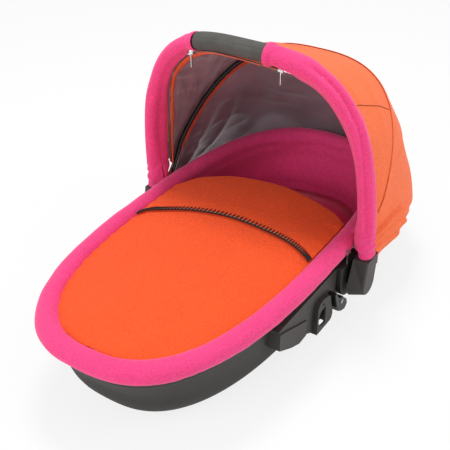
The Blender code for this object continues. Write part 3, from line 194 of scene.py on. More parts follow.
def taffeta(name, colour):
    """Grey lining, slightly shiny, with painted light and shade of folds in soft patches, and painted
    shade darkening it down at the rim.
    """
    material, tree, main, place = shader(name, colour, 0.40, metallic=0.25)
    # Painted light and shade of folds: a stretched noise makes the lining lighter and darker in soft
    # patches.
    stretch = tree.nodes.new("ShaderNodeMapping")
    stretch.inputs["Scale"].default_value = (1.0, 0.8, 1.6)
    stretch.inputs["Rotation"].default_value = (0.5, 0.3, 0.2)
    tree.links.new(place, stretch.inputs["Vector"])
    crease = speckle(tree, stretch.outputs["Vector"], 9.0, 2.0, 0.5)
    fine = speckle(tree, place, 700.0, 2.0)
    tone = ramp(tree, crease,
                [(0.30, scaled(colour, 0.78)), (0.52, colour), (0.72, scaled(colour, 1.25))])
    spots = ramp(tree, fine, [(0.3, (0.86, 0.86, 0.86)), (0.7, (1.0, 1.0, 1.0))])
    parts = tree.nodes.new("ShaderNodeSeparateXYZ")
    tree.links.new(place, parts.inputs[0])
    level = tree.nodes.new("ShaderNodeMapRange")
    level.inputs["From Min"].default_value = PAINTED_SHADE_FULL_Z
    level.inputs["From Max"].default_value = PAINTED_SHADE_END_Z
    tree.links.new(parts.outputs["Z"], level.inputs["Value"])
    # Painted shade: the lining's colour is darkened toward the rim, to about half at the bottom.
    rise = ramp(tree, level.outputs["Result"], [(0.0, (0.50, 0.44, 0.46)), (1.0, (1.0, 1.0, 1.0))])
    cloth = tinted(tree, tone, spots)
    tree.links.new(tinted(tree, cloth, rise), main.inputs["Base Color"])
    relief(tree, main, fine, 0.35, 0.0006)
    return material


def moulded(name, colour, roughness=0.55, grain_scale=1500.0, grain_depth=0.35):
    """Moulded plastic with a fine spark-eroded texture."""
    material, tree, main, place = shader(name, colour, roughness)
    fine = speckle(tree, place, grain_scale, 2.0)
    broad = speckle(tree, place, 30.0, 3.0)
    tone = ramp(tree, added(tree, broad, fine, 0.5),
                [(0.35, scaled(colour, 0.85)), (1.05, scaled(colour, 1.18))])
    tree.links.new(tone, main.inputs["Base Color"])
    gloss = spread(tree, broad, roughness - 0.08, roughness + 0.10)
    tree.links.new(gloss, main.inputs["Roughness"])
    relief(tree, main, fine, grain_depth, 0.0003)
    return material


def foam(name, colour):
    """Closed-cell foam: matte with fine pores."""
    material, tree, main, place = shader(name, colour, 0.82)
    pores = speckle(tree, place, 1100.0, 3.0, 0.7)
    smears = speckle(tree, place, 45.0, 3.0)
    tone = ramp(tree, added(tree, pores, smears, 0.6),
                [(0.5, scaled(colour, 0.72)), (1.1, scaled(colour, 1.35))])
    tree.links.new(tone, main.inputs["Base Color"])
    relief(tree, main, pores, 0.6, 0.0004)
    return material


def metal(name, colour, roughness=0.28):
    """Bright metal with faint scratches in its shine."""
    material, tree, main, place = shader(name, colour, roughness, metallic=1.0)
    scratch = speckle(tree, place, 500.0, 4.0)
    gloss = spread(tree, scratch, roughness - 0.1, roughness + 0.14)
    tree.links.new(gloss, main.inputs["Roughness"])
    relief(tree, main, scratch, 0.15, 0.0002)
    return material


def thread(name, colour):
    """Twisted sewing thread."""
    material, tree, main, place = shader(name, colour, 0.9)
    strands = speckle(tree, place, 1600.0, 2.0)
    tone = ramp(tree, strands, [(0.3, scaled(colour, 0.6)), (0.7, scaled(colour, 1.25))])
    tree.links.new(tone, main.inputs["Base Color"])
    relief(tree, main, strands, 0.6, 0.0003)
    return material


PINK = (0.86, 0.052, 0.225)
ORANGE = (0.95, 0.086, 0.011)
CANOPY = (0.98, 0.160, 0.042)
pink_felt = felt("pink_felt", PINK, 0.20)
orange_felt = felt("orange_felt", ORANGE, 0.26, 0.06)
canopy_cloth = plain_weave("canopy_cloth", CANOPY, 0.22)
lining_cloth = taffeta("lining_cloth", (0.44, 0.39, 0.42))
tape_cloth = plain_weave("tape_cloth", (0.20, 0.17, 0.17), 0.2)
mattress_cloth = felt("mattress_cloth", PINK, 0.2)
tub_plastic = moulded("tub_plastic", (0.026, 0.024, 0.021))
fitting_plastic = moulded("fitting_plastic", (0.034, 0.031, 0.028), 0.5, 1700.0, 0.25)
gloss_plastic = moulded("gloss_plastic", (0.010, 0.010, 0.010), 0.16, 900.0, 0.05)
grip_foam = foam("grip_foam", (0.070, 0.068, 0.062))
zip_metal = metal("zip_metal", (0.72, 0.72, 0.74))
pin_metal = metal("pin_metal", (0.55, 0.55, 0.56), 0.35)
tube_metal = metal("tube_metal", (0.60, 0.61, 0.62), 0.3)
dark_thread = thread("dark_thread", (0.026, 0.010, 0.007))
seam_thread = thread("seam_thread", (0.26, 0.032, 0.010))
# The hem tabs are orange cloth; this dark red-brown is their colour in shade, painted in.
shade_painted_tab_cloth = plain_weave("shade_painted_tab_cloth", (0.16, 0.020, 0.012), 0.15)
facing_cloth = plain_weave("facing_cloth", (0.90, 0.13, 0.035), 0.14)
seam_cloth = plain_weave("seam_cloth", (0.90, 0.165, 0.045), 0.12)
edge_cloth = plain_weave("edge_cloth", (0.42, 0.22, 0.15), 0.2)


# Shaping

def finish_mesh(name, work, material, smooth=True):
    mesh = bpy.data.meshes.new(name)
    work.to_mesh(mesh)
    work.free()
    for face in mesh.polygons:
        face.use_smooth = smooth
    mesh.materials.append(material)
    item = bpy.data.objects.new(name, mesh)
    bpy.context.scene.collection.objects.link(item)
    return item


def shaped_grid(name, columns, rows, place, material, join=False, caps=False):
    """A flat grid bent to place(u, v); join closes it along u, caps fill its ends."""
    work = bmesh.new()
    bmesh.ops.create_grid(work, x_segments=columns, y_segments=rows, size=0.5)
    share = work.verts.layers.float_vector.new("share")
    for vertex in work.verts:
        u, v = vertex.co.x + 0.5, vertex.co.y + 0.5
        vertex[share] = (u, v, 0.0)
        vertex.co = Vector(place(u, v))
    if join:
        bmesh.ops.remove_doubles(work, verts=work.verts, dist=1e-6)
    if caps:
        rim = [edge for edge in work.edges if edge.is_boundary]
        bmesh.ops.holes_fill(work, edges=rim, sides=0)
    bmesh.ops.recalc_face_normals(work, faces=work.faces)
    return finish_mesh(name, work, material)


def pressed(item, depth):
    """Moves each vertex out along its normal by depth(u, v), for hems, seams and channels."""
    work = bmesh.new()
    work.from_mesh(item.data)
    work.normal_update()
    share = work.verts.layers.float_vector["share"]
    moves = [vertex.normal * depth(vertex[share].x, vertex[share].y) for vertex in work.verts]
    for vertex, move in zip(work.verts, moves):
        vertex.co += move
    work.to_mesh(item.data)
    work.free()


PUFF_FRAMES = 20


def puffed(item, held, pressure, cap, slack):
    """Fills a closed cover as cloth, held where held(vertex) is true; no point moves over cap."""
    mesh = item.data
    before = [vertex.co.copy() for vertex in mesh.vertices]
    group = item.vertex_groups.new(name="held")
    group.add([vertex.index for vertex in mesh.vertices if held(vertex.co)], 1.0, "REPLACE")
    cloth = item.modifiers.new("puff", "CLOTH")
    cloth.settings.vertex_group_mass = "held"
    cloth.settings.use_pressure = True
    cloth.settings.uniform_pressure_force = pressure
    cloth.settings.shrink_min = -slack
    cloth.settings.effector_weights.gravity = 0.0
    cloth.point_cache.frame_start = 1
    cloth.point_cache.frame_end = PUFF_FRAMES
    scene = bpy.context.scene
    for number in range(1, PUFF_FRAMES + 1):
        scene.frame_set(number)
    graph = bpy.context.evaluated_depsgraph_get()
    after = [vertex.co.copy() for vertex in item.evaluated_get(graph).data.vertices]
    item.modifiers.remove(cloth)
    item.vertex_groups.clear()
    scene.frame_set(1)
    for vertex, old, new in zip(mesh.vertices, before, after):
        move = new - old
        if move.length > cap:
            move *= cap / move.length
        vertex.co = old + move
    mesh.update()


def smoother(item):
    soft_skin = item.modifiers.new("smooth", "SUBSURF")
    soft_skin.levels = 1
    soft_skin.render_levels = 1


def thicken(item, thickness, offset=0.0):
    skin = item.modifiers.new("thickness", "SOLIDIFY")
    skin.thickness = thickness
    skin.offset = offset


def rounded(item, width):
    edge = item.modifiers.new("edges", "BEVEL")
    edge.width = width
    edge.segments = 2
    edge.limit_method = "ANGLE"
    edge.angle_limit = math.radians(35)


def piped(name, points, radius, material, sides):
    """Cord of round section along a line, from a grid rolled up round the points."""
    line = np.array(points, float)
    last = len(line) - 1
    tangents = np.gradient(line, axis=0)
    tangents /= np.linalg.norm(tangents, axis=1)[:, None] + 1e-12
    side = np.cross(tangents[0], (0.0, 0.0, 1.0))
    if np.linalg.norm(side) < 0.2:
        side = np.cross(tangents[0], (1.0, 0.0, 0.0))
    frames = []
    for tangent in tangents:
        side = side - tangent * (side @ tangent)
        side /= np.linalg.norm(side)
        frames.append((side.copy(), np.cross(tangent, side)))

    def place(u, v):
        station = int(round(v * last))
        turn = 2 * math.pi * u
        across, over = frames[station]
        return line[station] + radius * (across * math.cos(turn) + over * math.sin(turn))

    return shaped_grid(name, sides, last, place, material, join=True, caps=True)


def gather(name, items):
    """Several finished pieces of one material joined as one mesh."""
    work = bmesh.new()
    for item in items:
        work.from_mesh(item.data)
    made = finish_mesh(name, work, items[0].data.materials[0])
    for item in items:
        bpy.data.objects.remove(item, do_unlink=True)
    return made


DASH_SHARE = 0.62


def dashes(name, path, count, radius, material):
    """Running stitch: short threads spaced along path(share)."""
    threads = []
    for k in range(count):
        spots = [path((k + DASH_SHARE * step / 2) / count) for step in range(3)]
        threads.append(piped("thread", spots, radius, material, 5))
    return gather(name, threads)


def bend_power(value, power):
    return math.copysign(abs(value) ** power, value)


def powered(values, power):
    return np.sign(values) * np.abs(values) ** power


def run_along(steps):
    """Distance from a line's start to each of its points."""
    return np.concatenate([[0.0], np.cumsum(steps)])


def even_turns(count, length, width, power):
    """Turns that place points evenly round an oval."""
    fine = np.linspace(0.0, 2 * math.pi, 6001)
    x = width * powered(np.cos(fine), 2 / power)
    y = length * powered(np.sin(fine), 2 / power)
    run = run_along(np.hypot(np.diff(x), np.diff(y)))
    return np.interp(np.linspace(0.0, run[-1], count + 1), run, fine)


RING_STEPS = 720
TURNS = even_turns(RING_STEPS, RIM_LENGTH, RIM_WIDTH, RIM_POWER)


def oval(u, length, width, power=RIM_POWER, shift=0.0):
    """A point at share u round an oval of these half sizes."""
    turn = np.interp((u % 1.0) * RING_STEPS, np.arange(RING_STEPS + 1), TURNS)
    return (width * bend_power(math.cos(turn), 2 / power),
            length * bend_power(math.sin(turn), 2 / power) + shift)


def soft(value, low, high):
    """0 below low, 1 above high, eased between."""
    share = min(max((value - low) / (high - low), 0.0), 1.0)
    return share * share * (3 - 2 * share)


def grain(x, y, z=0.0):
    return noise.noise(Vector((x, y, z)))


def crease(point, scale, sharp=3.0):
    """Field of thin folds: 1 along wandering lines, falling off softly beside them."""
    warp = grain(point[0] * scale * 0.7, point[1] * scale * 0.7, point[2] * scale * 0.7 + 7.0)
    value = grain(point[0] * scale + warp, point[1] * scale, point[2] * scale - warp)
    return max(1 - abs(value) * 2.4, 0.0) ** sharp


def fold(along, across, turn, scale):
    """Long straight folds lying at an angle in a panel, 1 along each ridge."""
    length = along * math.cos(turn) + across * math.sin(turn)
    width = across * math.cos(turn) - along * math.sin(turn)
    value = grain(length * scale * 0.3, width * scale, scale)
    return max(1 - abs(value) * 2.6, 0.0) ** 2


def line_height(x, places, values):
    """Smooth line through a table's points, level beyond its ends."""
    slopes = np.gradient(values, places)
    x = min(max(x, places[0]), places[-1])
    k = min(int(np.searchsorted(places, x, "right")) - 1, len(places) - 2)
    span = places[k + 1] - places[k]
    t = (x - places[k]) / span
    low = (2 * t ** 3 - 3 * t ** 2 + 1) * values[k] + (t ** 3 - 2 * t ** 2 + t) * span * slopes[k]
    high = (3 * t ** 2 - 2 * t ** 3) * values[k + 1] + (t ** 3 - t ** 2) * span * slopes[k + 1]
    return low + high


# Tub, lining and mattress

def tub_profile(inset, band):
    """Wall profile from the base up, as (height, length, width, power, shift)."""
    levels = []
    for step in range(11):
        turn = math.pi / 2 * step / 10
        grow = (BILGE - inset) * math.sin(turn)
        share = step / 10
        levels.append((BILGE - (BILGE - inset) * math.cos(turn), BASE_LENGTH + grow,
                       BASE_WIDTH + grow, BASE_POWER + (RIM_POWER - BASE_POWER) * share,
                       BASE_SHIFT * (1 - share)))
    lip_length, lip_width = RIM_LENGTH + LIP, RIM_WIDTH + LIP
    wall_length, wall_width = BASE_LENGTH + BILGE, BASE_WIDTH + BILGE
    for step in range(1, 7):
        share = step / 6
        ease = share ** 1.15
        levels.append((BILGE + (LEDGE_Z - BILGE) * share,
                       wall_length + (lip_length - BAND - wall_length) * ease - inset,
                       wall_width + (lip_width - BAND - wall_width) * ease - inset,
                       RIM_POWER, 0.0))
    if band:
        levels.append((LEDGE_Z + 0.0006, lip_length - inset - 0.0003, lip_width - inset - 0.0003,
                       RIM_POWER, 0.0))
        levels.append((LEDGE_Z + BAND * 0.6, lip_length - inset, lip_width - inset, RIM_POWER, 0.0))
    levels.append((WALL_TOP, lip_length - inset, lip_width - inset, RIM_POWER, 0.0))
    return levels


LINER_LEVELS = tub_profile(LINER_IN, False)


def liner_size(z):
    """Half length and half width inside the lining at a height."""
    heights = [level[0] for level in LINER_LEVELS]
    return (float(np.interp(z, heights, [level[1] for level in LINER_LEVELS])),
            float(np.interp(z, heights, [level[2] for level in LINER_LEVELS])))


def walled(name, levels, material, columns, ripple=None):
    """Wall of rings, closed over its first and last ring."""
    def place(u, v):
        height, length, width, power, shift = levels[int(round(v * (len(levels) - 1)))]
        x, y = oval(u, length, width, power, shift)
        if ripple:
            x, y = ripple(u, v, x, y, height)
        return x, y, height

    item = shaped_grid(name, columns, len(levels) - 1, place, material, join=True, caps=True)
    for face in item.data.polygons:
        face.use_smooth = len(face.vertices) == 4
    return item


VENT_SIZE, VENT_X, VENT_SPACING = (0.006, 0.050, 0.014), 0.055, 0.100


def vent_cutter():
    vents = bmesh.new()
    for row in (-1, 0, 1):
        for side in (-1, 1):
            block = bmesh.ops.create_cube(vents, size=1.0)["verts"]
            place = (side * VENT_X, BASE_SHIFT + row * VENT_SPACING, 0.0)
            bmesh.ops.scale(vents, vec=VENT_SIZE, verts=block)
            bmesh.ops.translate(vents, vec=place, verts=block)
    return finish_mesh("vent_cutter", vents, tub_plastic, smooth=False)


def make_tub():
    shell = walled("tub_moulding", tub_profile(0.0, True) + tub_profile(SHELL, False)[::-1],
                   tub_plastic, 180)
    cutter = vent_cutter()
    cut = shell.modifiers.new("vents", "BOOLEAN")
    cut.operation = "DIFFERENCE"
    cut.solver = "EXACT"
    cut.object = cutter
    graph = bpy.context.evaluated_depsgraph_get()
    vented = bpy.data.meshes.new_from_object(shell.evaluated_get(graph))
    shell.modifiers.clear()
    shell.data = vented
    bpy.data.objects.remove(cutter, do_unlink=True)
    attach(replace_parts(shell, "tub_shell"), "tub")


def make_liner():
    def ripple(u, v, x, y, height):
        if v < 0.5:
            return x, y
        wave = 0.0022 * grain(u * 60, height * 30) * soft(height, 0.02, 0.06)
        return x * (1 + wave), y * (1 + wave * 0.6)

    liner = walled("liner_cover", tub_profile(LINER_OUT, False) + LINER_LEVELS[::-1],
                   pink_felt, 200, ripple)
    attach(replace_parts(liner, "liner"), "tub")


def make_mattress():
    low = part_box("mattress")[0]
    inset = 0.0125
    side_height, crown_height = 0.0335, 0.0125
    side_share, top_share = 0.6, 0.4

    def place(u, v):
        grow = (BILGE - inset) * math.sin(math.radians(62) * min(v / side_share, 1.0))
        x, y = oval(u, BASE_LENGTH + grow, BASE_WIDTH + grow, 2.6, BASE_SHIFT / 2)
        if v < side_share:
            share = v / side_share
            return x, y, low.z + side_height * share ** 1.3
        share = (v - side_share) / top_share
        inward = 1 - 0.98 * share ** 0.8
        crown = crown_height * math.sin(math.pi / 2 * min(1, share * 1.4)) ** 0.7
        return x * inward, y * inward, low.z + side_height + crown

    pad = shaped_grid("mattress_pad", 120, 30, place, mattress_cloth, join=True, caps=True)
    puffed(pad, lambda spot: spot.z < low.z + 0.030, pressure=2.0, cap=0.0015, slack=0.02)
    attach(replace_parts(pad, "mattress"), "tub")


# Rim roll

ROLL_STEPS, INSIDE_STEPS = 26, 15


def roll_levels():
    """Section of the rim cover: round the roll, down inside the lining and back up behind it."""
    levels = []
    skin = ROLL - 0.0006
    for step in range(ROLL_STEPS + 1):
        turn = math.radians(-56 + 236 * step / ROLL_STEPS)
        out = skin * math.cos(turn)
        levels.append((RIM_LENGTH + out, RIM_WIDTH + out, RIM_Z + skin * math.sin(turn)))
    for step in range(1, INSIDE_STEPS + 1):
        height = RIM_Z - 0.088 * step / INSIDE_STEPS
        fall = step / INSIDE_STEPS
        length, width = liner_size(height)
        levels.append((min(RIM_LENGTH - skin + 0.004 * fall, length - 0.0007),
                       min(RIM_WIDTH - skin + 0.0080 * fall, width - 0.0007), height))
    for height in (0.0572, 0.070, 0.085, 0.100, 0.115, WALL_TOP + 0.0002):
        length, width = liner_size(height)
        levels.append((length - 0.0002, width - 0.0002, height))
    levels.append(levels[0])
    return levels


def make_roll():
    levels = roll_levels()
    last = len(levels) - 1

    def place(u, v):
        length, width, height = levels[int(round(v * last))]
        return (*oval(u, length, width), height)

    roll = shaped_grid("rim_roll_cover", 320, last, place, pink_felt, join=True)
    puffed(roll, lambda spot: spot.z < 0.1325, pressure=3.0, cap=0.0022, slack=0.035)

    def swell(u, v):
        out = 0.0007 * grain(math.cos(2 * math.pi * u) * 9, math.sin(2 * math.pi * u) * 9, v * 5)
        if v < (ROLL_STEPS + 1) / last:
            return out
        return out * 0.5 if v < (ROLL_STEPS + 10) / last else 0.0

    pressed(roll, swell)
    smoother(roll)
    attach(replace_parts(roll, "rim_roll"), "tub")


# Apron and its flap

# Points along the apron's fold and the flap's stitched edge. They were picked in the photo,
# placed on the apron by a scratch script and smoothed by hand.
FOLD_X = np.array([-0.1645, -0.1548, -0.1388, -0.1068, -0.0817, -0.0435, -0.0143, 0.0156, 0.0593,
                   0.1015, 0.1347, 0.1606])
FOLD_Y = np.array([0.0477, 0.0655, 0.0900, 0.1095, 0.1205, 0.1290, 0.1328, 0.1340, 0.1310,
                   0.1255, 0.1180, 0.1020])
HEM_X = np.array([-0.1594, -0.1494, -0.1267, -0.0933, -0.0596, -0.0323, 0.0147, 0.0546, 0.0948,
                  0.1252, 0.1506, 0.1600])
HEM_Y = np.array([-0.0560, -0.0425, -0.0325, -0.0200, -0.0095, -0.0035, 0.0010, 0.0008, -0.0020,
                  -0.0070, -0.0165, -0.0235])


# The flap's share of the apron's width, its height, and how its grid is split at the fold.
FLAP_WIDTH, FLAP_RISE, FLAT_SHARE, TURN_SHARE = 0.992, 0.0033, 0.8, 0.2
STITCHES = 66


def apron_width(y):
    """Half width of the apron at a distance along it."""
    share = min(abs(y) / (RIM_LENGTH - APRON_INSET), 1.0)
    return (RIM_WIDTH - APRON_INSET) * (1 - share ** RIM_POWER) ** (1 / RIM_POWER)


def apron_height(x, y, lift=0.0):
    half = max(apron_width(y), 1e-6)
    across = min(abs(x) / half, 1.0)
    ends = max(min(1.0, (y + RIM_LENGTH) / (RIM_LENGTH / 2)), 0.0)
    rise = APRON_CROWN * (1 - across ** 2.2) * ends ** 0.6
    edge = soft(across, 0.80, 1.0)
    pucker = 0.0007 * edge * math.sin(y * 230 + 2.0 * grain(y * 12, x * 3))
    broad = 0.0016 * grain(x * 13, y * 9, 4.0) * (1 - edge)
    return APRON_Z + rise + lift + pucker + broad


def across_at(across, places, values):
    """Where a line across the apron meets a column at a share of its width."""
    y = 0.0
    for _ in range(5):
        y = line_height(across * apron_width(y), places, values)
    return y


def apron_place(u, v):
    across = math.sin(math.pi * (u - 0.5))
    foot = -(RIM_LENGTH - APRON_INSET) * 0.9990
    head = across_at(across, FOLD_X, FOLD_Y)
    y = foot + (head - foot) * v ** 1.5
    x = across * apron_width(y)
    return x, y, apron_height(x, y)


def flap_place(u, v):
    across = math.sin(math.pi * (u - 0.5)) * FLAP_WIDTH
    near = across_at(across, HEM_X, HEM_Y)
    far = across_at(across, FOLD_X, FOLD_Y)
    if v < FLAT_SHARE:
        y = near + (far - near) * v / FLAT_SHARE
        x = across * apron_width(y)
        puff = 0.0012 * math.sin(math.pi * v / FLAT_SHARE) * (1 - abs(across) ** 4)
        return x, y, apron_height(x, y, FLAP_RISE + puff + 0.0012 * math.exp(-v * 22))
    turn = math.pi * (v - FLAT_SHARE) / TURN_SHARE
    x = across * apron_width(far)
    return x, far + 0.0052 * math.sin(turn), apron_height(x, far, FLAP_RISE * math.cos(turn))


def make_apron():
    apron = shaped_grid("apron_cloth", 90, 150, apron_place, orange_felt)
    thicken(apron, 0.0028)
    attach(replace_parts(apron, "apron"), "tub")


def on_flap(share, away, lift):
    """A spot at a share along the flap's stitched edge, away in from it and lifted off it."""
    u = 0.012 + 0.976 * share
    across = math.sin(math.pi * (u - 0.5)) * FLAP_WIDTH
    depth = across_at(across, FOLD_X, FOLD_Y) - across_at(across, HEM_X, HEM_Y)
    x, y, z = flap_place(u, max(away, 0.0) / depth * FLAT_SHARE)
    return Vector((x, y + min(away, 0.0), z + lift))


def make_edge_band():
    def place(u, v):
        return on_flap(u, 0.0006 + 0.0032 * v, 0.0016 + 0.0003 * math.sin(math.pi * v))

    band = shaped_grid("edge_band", 200, 3, place, edge_cloth)
    thicken(band, 0.0003)
    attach(band, "tub")
    return band


def make_blanket_stitch():
    """A thread along the flap's edge, with a leg into the felt at each stitch."""
    steps = STITCHES * 2
    edge = [on_flap(k / steps, -0.0008, 0.0012) for k in range(steps + 1)]
    threads = [piped("edge_thread", edge, 0.00140, dark_thread, 6)]
    for k in range(STITCHES + 1):
        leg = [on_flap(k / STITCHES, 0.0104 * step / 6 - 0.0006, 0.0024 - 0.0005 * (step / 6) ** 3)
               for step in range(7)]
        threads.append(piped("leg_thread", leg, 0.00115, dark_thread, 5))
    blanket = gather("blanket_stitch", threads)
    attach(blanket, "tub")
    return blanket


def make_flap():
    flap = shaped_grid("apron_flap_cloth", 90, 60, flap_place, orange_felt)
    thicken(flap, 0.0026)
    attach(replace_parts(flap, "apron_flap"), "tub")
    band = make_edge_band()
    blanket = make_blanket_stitch()


# Handle, sleeves and grip

def handle_line():
    """Centre line of the handle's tube, from its right end over the hoop to its left end."""
    turns = np.linspace(0.0, math.pi, 1201)
    climb = np.abs(np.sin(turns)) ** (2 / HOOP_POWER)
    width = FOOT_WIDTH + (TOP_WIDTH - FOOT_WIDTH) * climb
    x = width * powered(np.cos(turns), 2 / HOOP_POWER)
    y = FOOT_Y - RISE * climb * math.sin(LEAN)
    z = FOOT_Z + RISE * climb * math.cos(LEAN)
    line = np.stack([x, y, z], 1)
    drop = FOOT_Z - TUBE_END_Z
    foot = np.array([[FOOT_WIDTH, FOOT_Y + drop * math.tan(LEAN), TUBE_END_Z]])
    return np.vstack([foot, line, foot * (-1, 1, 1)])


HANDLE = handle_line()
HANDLE_RUN = run_along(np.linalg.norm(np.diff(HANDLE, axis=0), axis=1))
ACROSS = np.array([0.0, math.cos(LEAN), math.sin(LEAN)])


def on_handle(distance):
    return np.array([np.interp(distance, HANDLE_RUN, HANDLE[:, k]) for k in range(3)])


def handle_at_x(x):
    return float(np.interp(-x, -HANDLE[1:-1, 0], HANDLE_RUN[1:-1]))


def handle_at_height(z):
    half = len(HANDLE_RUN) // 2
    return float(np.interp(z, HANDLE[:half, 2], HANDLE_RUN[:half]))


def handle_frame(distance):
    """Centre, and the direction in the handle's plane that points inside the hoop."""
    ahead = on_handle(min(distance + 0.002, HANDLE_RUN[-1]))
    behind = on_handle(max(distance - 0.002, 0.0))
    direction = (ahead - behind) / np.linalg.norm(ahead - behind)
    return on_handle(distance), np.cross(direction, ACROSS)


def edge_offset(distance):
    """How far the canopy's edge lies inside the handle's line and behind its plane."""
    middle = on_handle(distance)
    inset = 0.0180 + 0.0045 * soft(middle[0], -0.110, 0.030)
    back = 0.0220 - 0.0165 * soft(middle[2], 0.275, 0.395)
    return inset, back


def bow_room(height):
    """How far back the felt may reach at a height and still clear the folded bow's legs."""
    return max((height - FAN[2]) * 0.51 - 0.0065, 0.0)


# Distances along the handle: the grip's ends, the zips' tops and the canopy edge's start.
GRIP_START, GRIP_END = handle_at_x(0.100), handle_at_x(-0.100)
RIGHT_ZIP_TOP, LEFT_ZIP_TOP = handle_at_x(0.070), handle_at_x(0.116)
EDGE_START = handle_at_height(0.175)
# A groove that would start farther up than a sleeve is long.
NO_GROOVE = 9.0


def around_handle(distance, turn, in_plane, across):
    middle, inward = handle_frame(distance)
    return middle + inward * in_plane * math.cos(turn) + ACROSS * across * math.sin(turn)


def turned_gap(turn, other):
    return (turn - other + math.pi) % (2 * math.pi) - math.pi


def groove_turn(s):
    """Where the sewn groove lies round the sleeve; it turns forward on the way up."""
    return math.radians(-110 - 32 * soft(s, 0.14, 0.32))


def make_sleeve(name, start, stop, taper, groove_from, fin_to):
    """Felt sleeve, its inner side drawn out to the zip, with a sewn groove and a turned hem."""
    columns = 56
    rows = int(abs(stop - start) / 0.0036)

    def place(u, v):
        s = start + (stop - start) * v
        turn = 2 * math.pi * u
        in_plane, across = taper(s)
        inset, back = edge_offset(s)
        back -= 0.0039
        foot = min(s, HANDLE_RUN[-1] - s)
        back = min(back, bow_room(on_handle(s)[2]))
        low = soft(0.090 - foot, 0.0, 0.05)
        reach = math.hypot(inset, back) + 0.0014
        toward = math.atan2(back, inset)
        radius = in_plane * across / math.hypot(across * math.cos(turn), in_plane * math.sin(turn))
        radius -= 0.0004
        lobe = math.exp(-(turned_gap(turn, toward) / (0.50 + 0.25 * low)) ** 2)
        drawn = max(reach - radius, 0.0) * lobe * fin_to(s)
        ripple = math.sin(foot * 400 + 1.6 * math.sin(turn + 0.6) + 3 * grain(u * 3, foot * 30))
        size = radius + drawn + 0.0012 * low * ripple
        return around_handle(s, turn, size, size)

    cover = shaped_grid(name, columns, rows, place, pink_felt, join=True)
    ends = (Vector(on_handle(start)), Vector(on_handle(stop)))

    def held(spot):
        return min((spot - end).length for end in ends) < 0.020

    puffed(cover, held, pressure=2.0, cap=0.0016, slack=0.045)

    def trim(u, v):
        s = start + (stop - start) * v
        turn = 2 * math.pi * u
        away = abs(s - stop)
        hem = 0.0020 * soft(0.011 - away, 0.0, 0.003)
        tuck = -0.0009 * math.exp(-((away - 0.0130) / 0.0018) ** 2)
        gap = turned_gap(turn, groove_turn(s))
        sewn = soft(away, groove_from, groove_from + 0.03) * soft(abs(s - start), 0.02, 0.07)
        groove = -0.0046 * math.exp(-(gap / 0.26) ** 2)
        lobes = 0.0012 * math.exp(-((abs(gap) - 0.65) / 0.3) ** 2)
        return hem + tuck + (groove + lobes) * sewn

    pressed(cover, trim)
    thicken(cover, 0.0022, -1.0)
    smoother(cover)
    return cover


def plain_sleeve(s):
    return SLEEVE_IN, SLEEVE_ACROSS


def over_grip(s):
    """Half sizes of the right sleeve, which laps over the grip."""
    share = soft(s, GRIP_START - 0.030, GRIP_START)
    return SLEEVE_IN + 0.0035 * share, SLEEVE_ACROSS + 0.0023 * share


def fin_share(run, zip_top):
    """How far the felt is drawn out to the zip: not at the foot, and not past the zip's top."""
    return soft(run, 0.018, 0.040) * soft(-run, -zip_top, 0.03 - zip_top)


def right_fin(s):
    return fin_share(s, RIGHT_ZIP_TOP)


def left_fin(s):
    return fin_share(HANDLE_RUN[-1] - s, LEFT_ZIP_TOP)


def make_sleeves():
    foot = (SLEEVE_END_Z - TUBE_END_Z) / (FOOT_Z - TUBE_END_Z) * HANDLE_RUN[1]
    right = make_sleeve("sleeve_cloth_right", foot, handle_at_x(0.032), over_grip, 0.065, right_fin)
    left = make_sleeve("sleeve_cloth_left", HANDLE_RUN[-1] - foot, GRIP_END + 0.0003, plain_sleeve,
                       NO_GROOVE, left_fin)
    for item, side in ((right, "right"), (left, "left")):
        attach(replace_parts(item, "sleeve_" + side), "handle")


def grip_place(u, v):
    turn = 2 * math.pi * u
    s = GRIP_START + (GRIP_END - GRIP_START) * v
    end = min(s - GRIP_START, GRIP_END - s)
    share = min(end / 0.004, 1.0)
    drop = 0.0024 * (1 - math.sqrt(max(1 - (1 - share) ** 2, 0.0)))
    parting = 0.0
    for at in (math.radians(-48), math.radians(-132)):
        parting -= 0.0010 * math.exp(-(turned_gap(turn, at) / 0.06) ** 2)
    return around_handle(s, turn, 0.0145 - drop + parting, 0.0165 - drop + parting)


def make_grip():
    grip = shaped_grid("grip_foam_cover", 72, 110, grip_place, grip_foam, join=True)
    thicken(grip, 0.004, -1.0)
    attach(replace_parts(grip, "grip"), "handle")


def paint(name, material):
    item = NODES[name]
    item.data.materials.clear()
    item.data.materials.append(material)
    return item


# Canopy

FAN_POINTS = 361
COVER_THICK, LINING_THICK, FACING_THICK = 0.0010, 0.0005, 0.0006
# Across the bow's plane, toward the head end.
BEHIND_BOW = Vector((0.0, math.cos(BOW_ANGLE), -math.sin(BOW_ANGLE)))


def hoop_line(half_width, reach, power, start):
    """Points placed evenly along a hoop, as (x, distance from the pivot's line)."""
    first = math.asin((start / reach) ** (power / 2))
    turns = np.linspace(first, math.pi - first, 1601)
    x = half_width * powered(np.cos(turns), 2 / power)
    r = reach * np.abs(np.sin(turns)) ** (2 / power)
    run = run_along(np.hypot(np.diff(x), np.diff(r)))
    wanted = np.linspace(0.0, run[-1], FAN_POINTS)
    return np.stack([np.interp(wanted, run, x), np.interp(wanted, run, r)], 1)


def eased(values, low, high):
    """What soft does, for a whole array."""
    share = np.clip((values - low) / (high - low), 0.0, 1.0)
    return share * share * (3 - 2 * share)


def fan_line(angle, half_width, reach, power, start, leg_x):
    """Hoop turned by angle from upright, drawn in to leg_x near its ends."""
    flat = hoop_line(half_width, reach, power, start)
    spread = eased(flat[:, 1], 0.055, 0.110)
    x = np.sign(flat[:, 0]) * (leg_x + (np.abs(flat[:, 0]) - leg_x) * spread)
    y = FAN[1] + flat[:, 1] * math.sin(angle)
    z = FAN[2] + flat[:, 1] * math.cos(angle)
    return np.stack([x, y, z], 1)


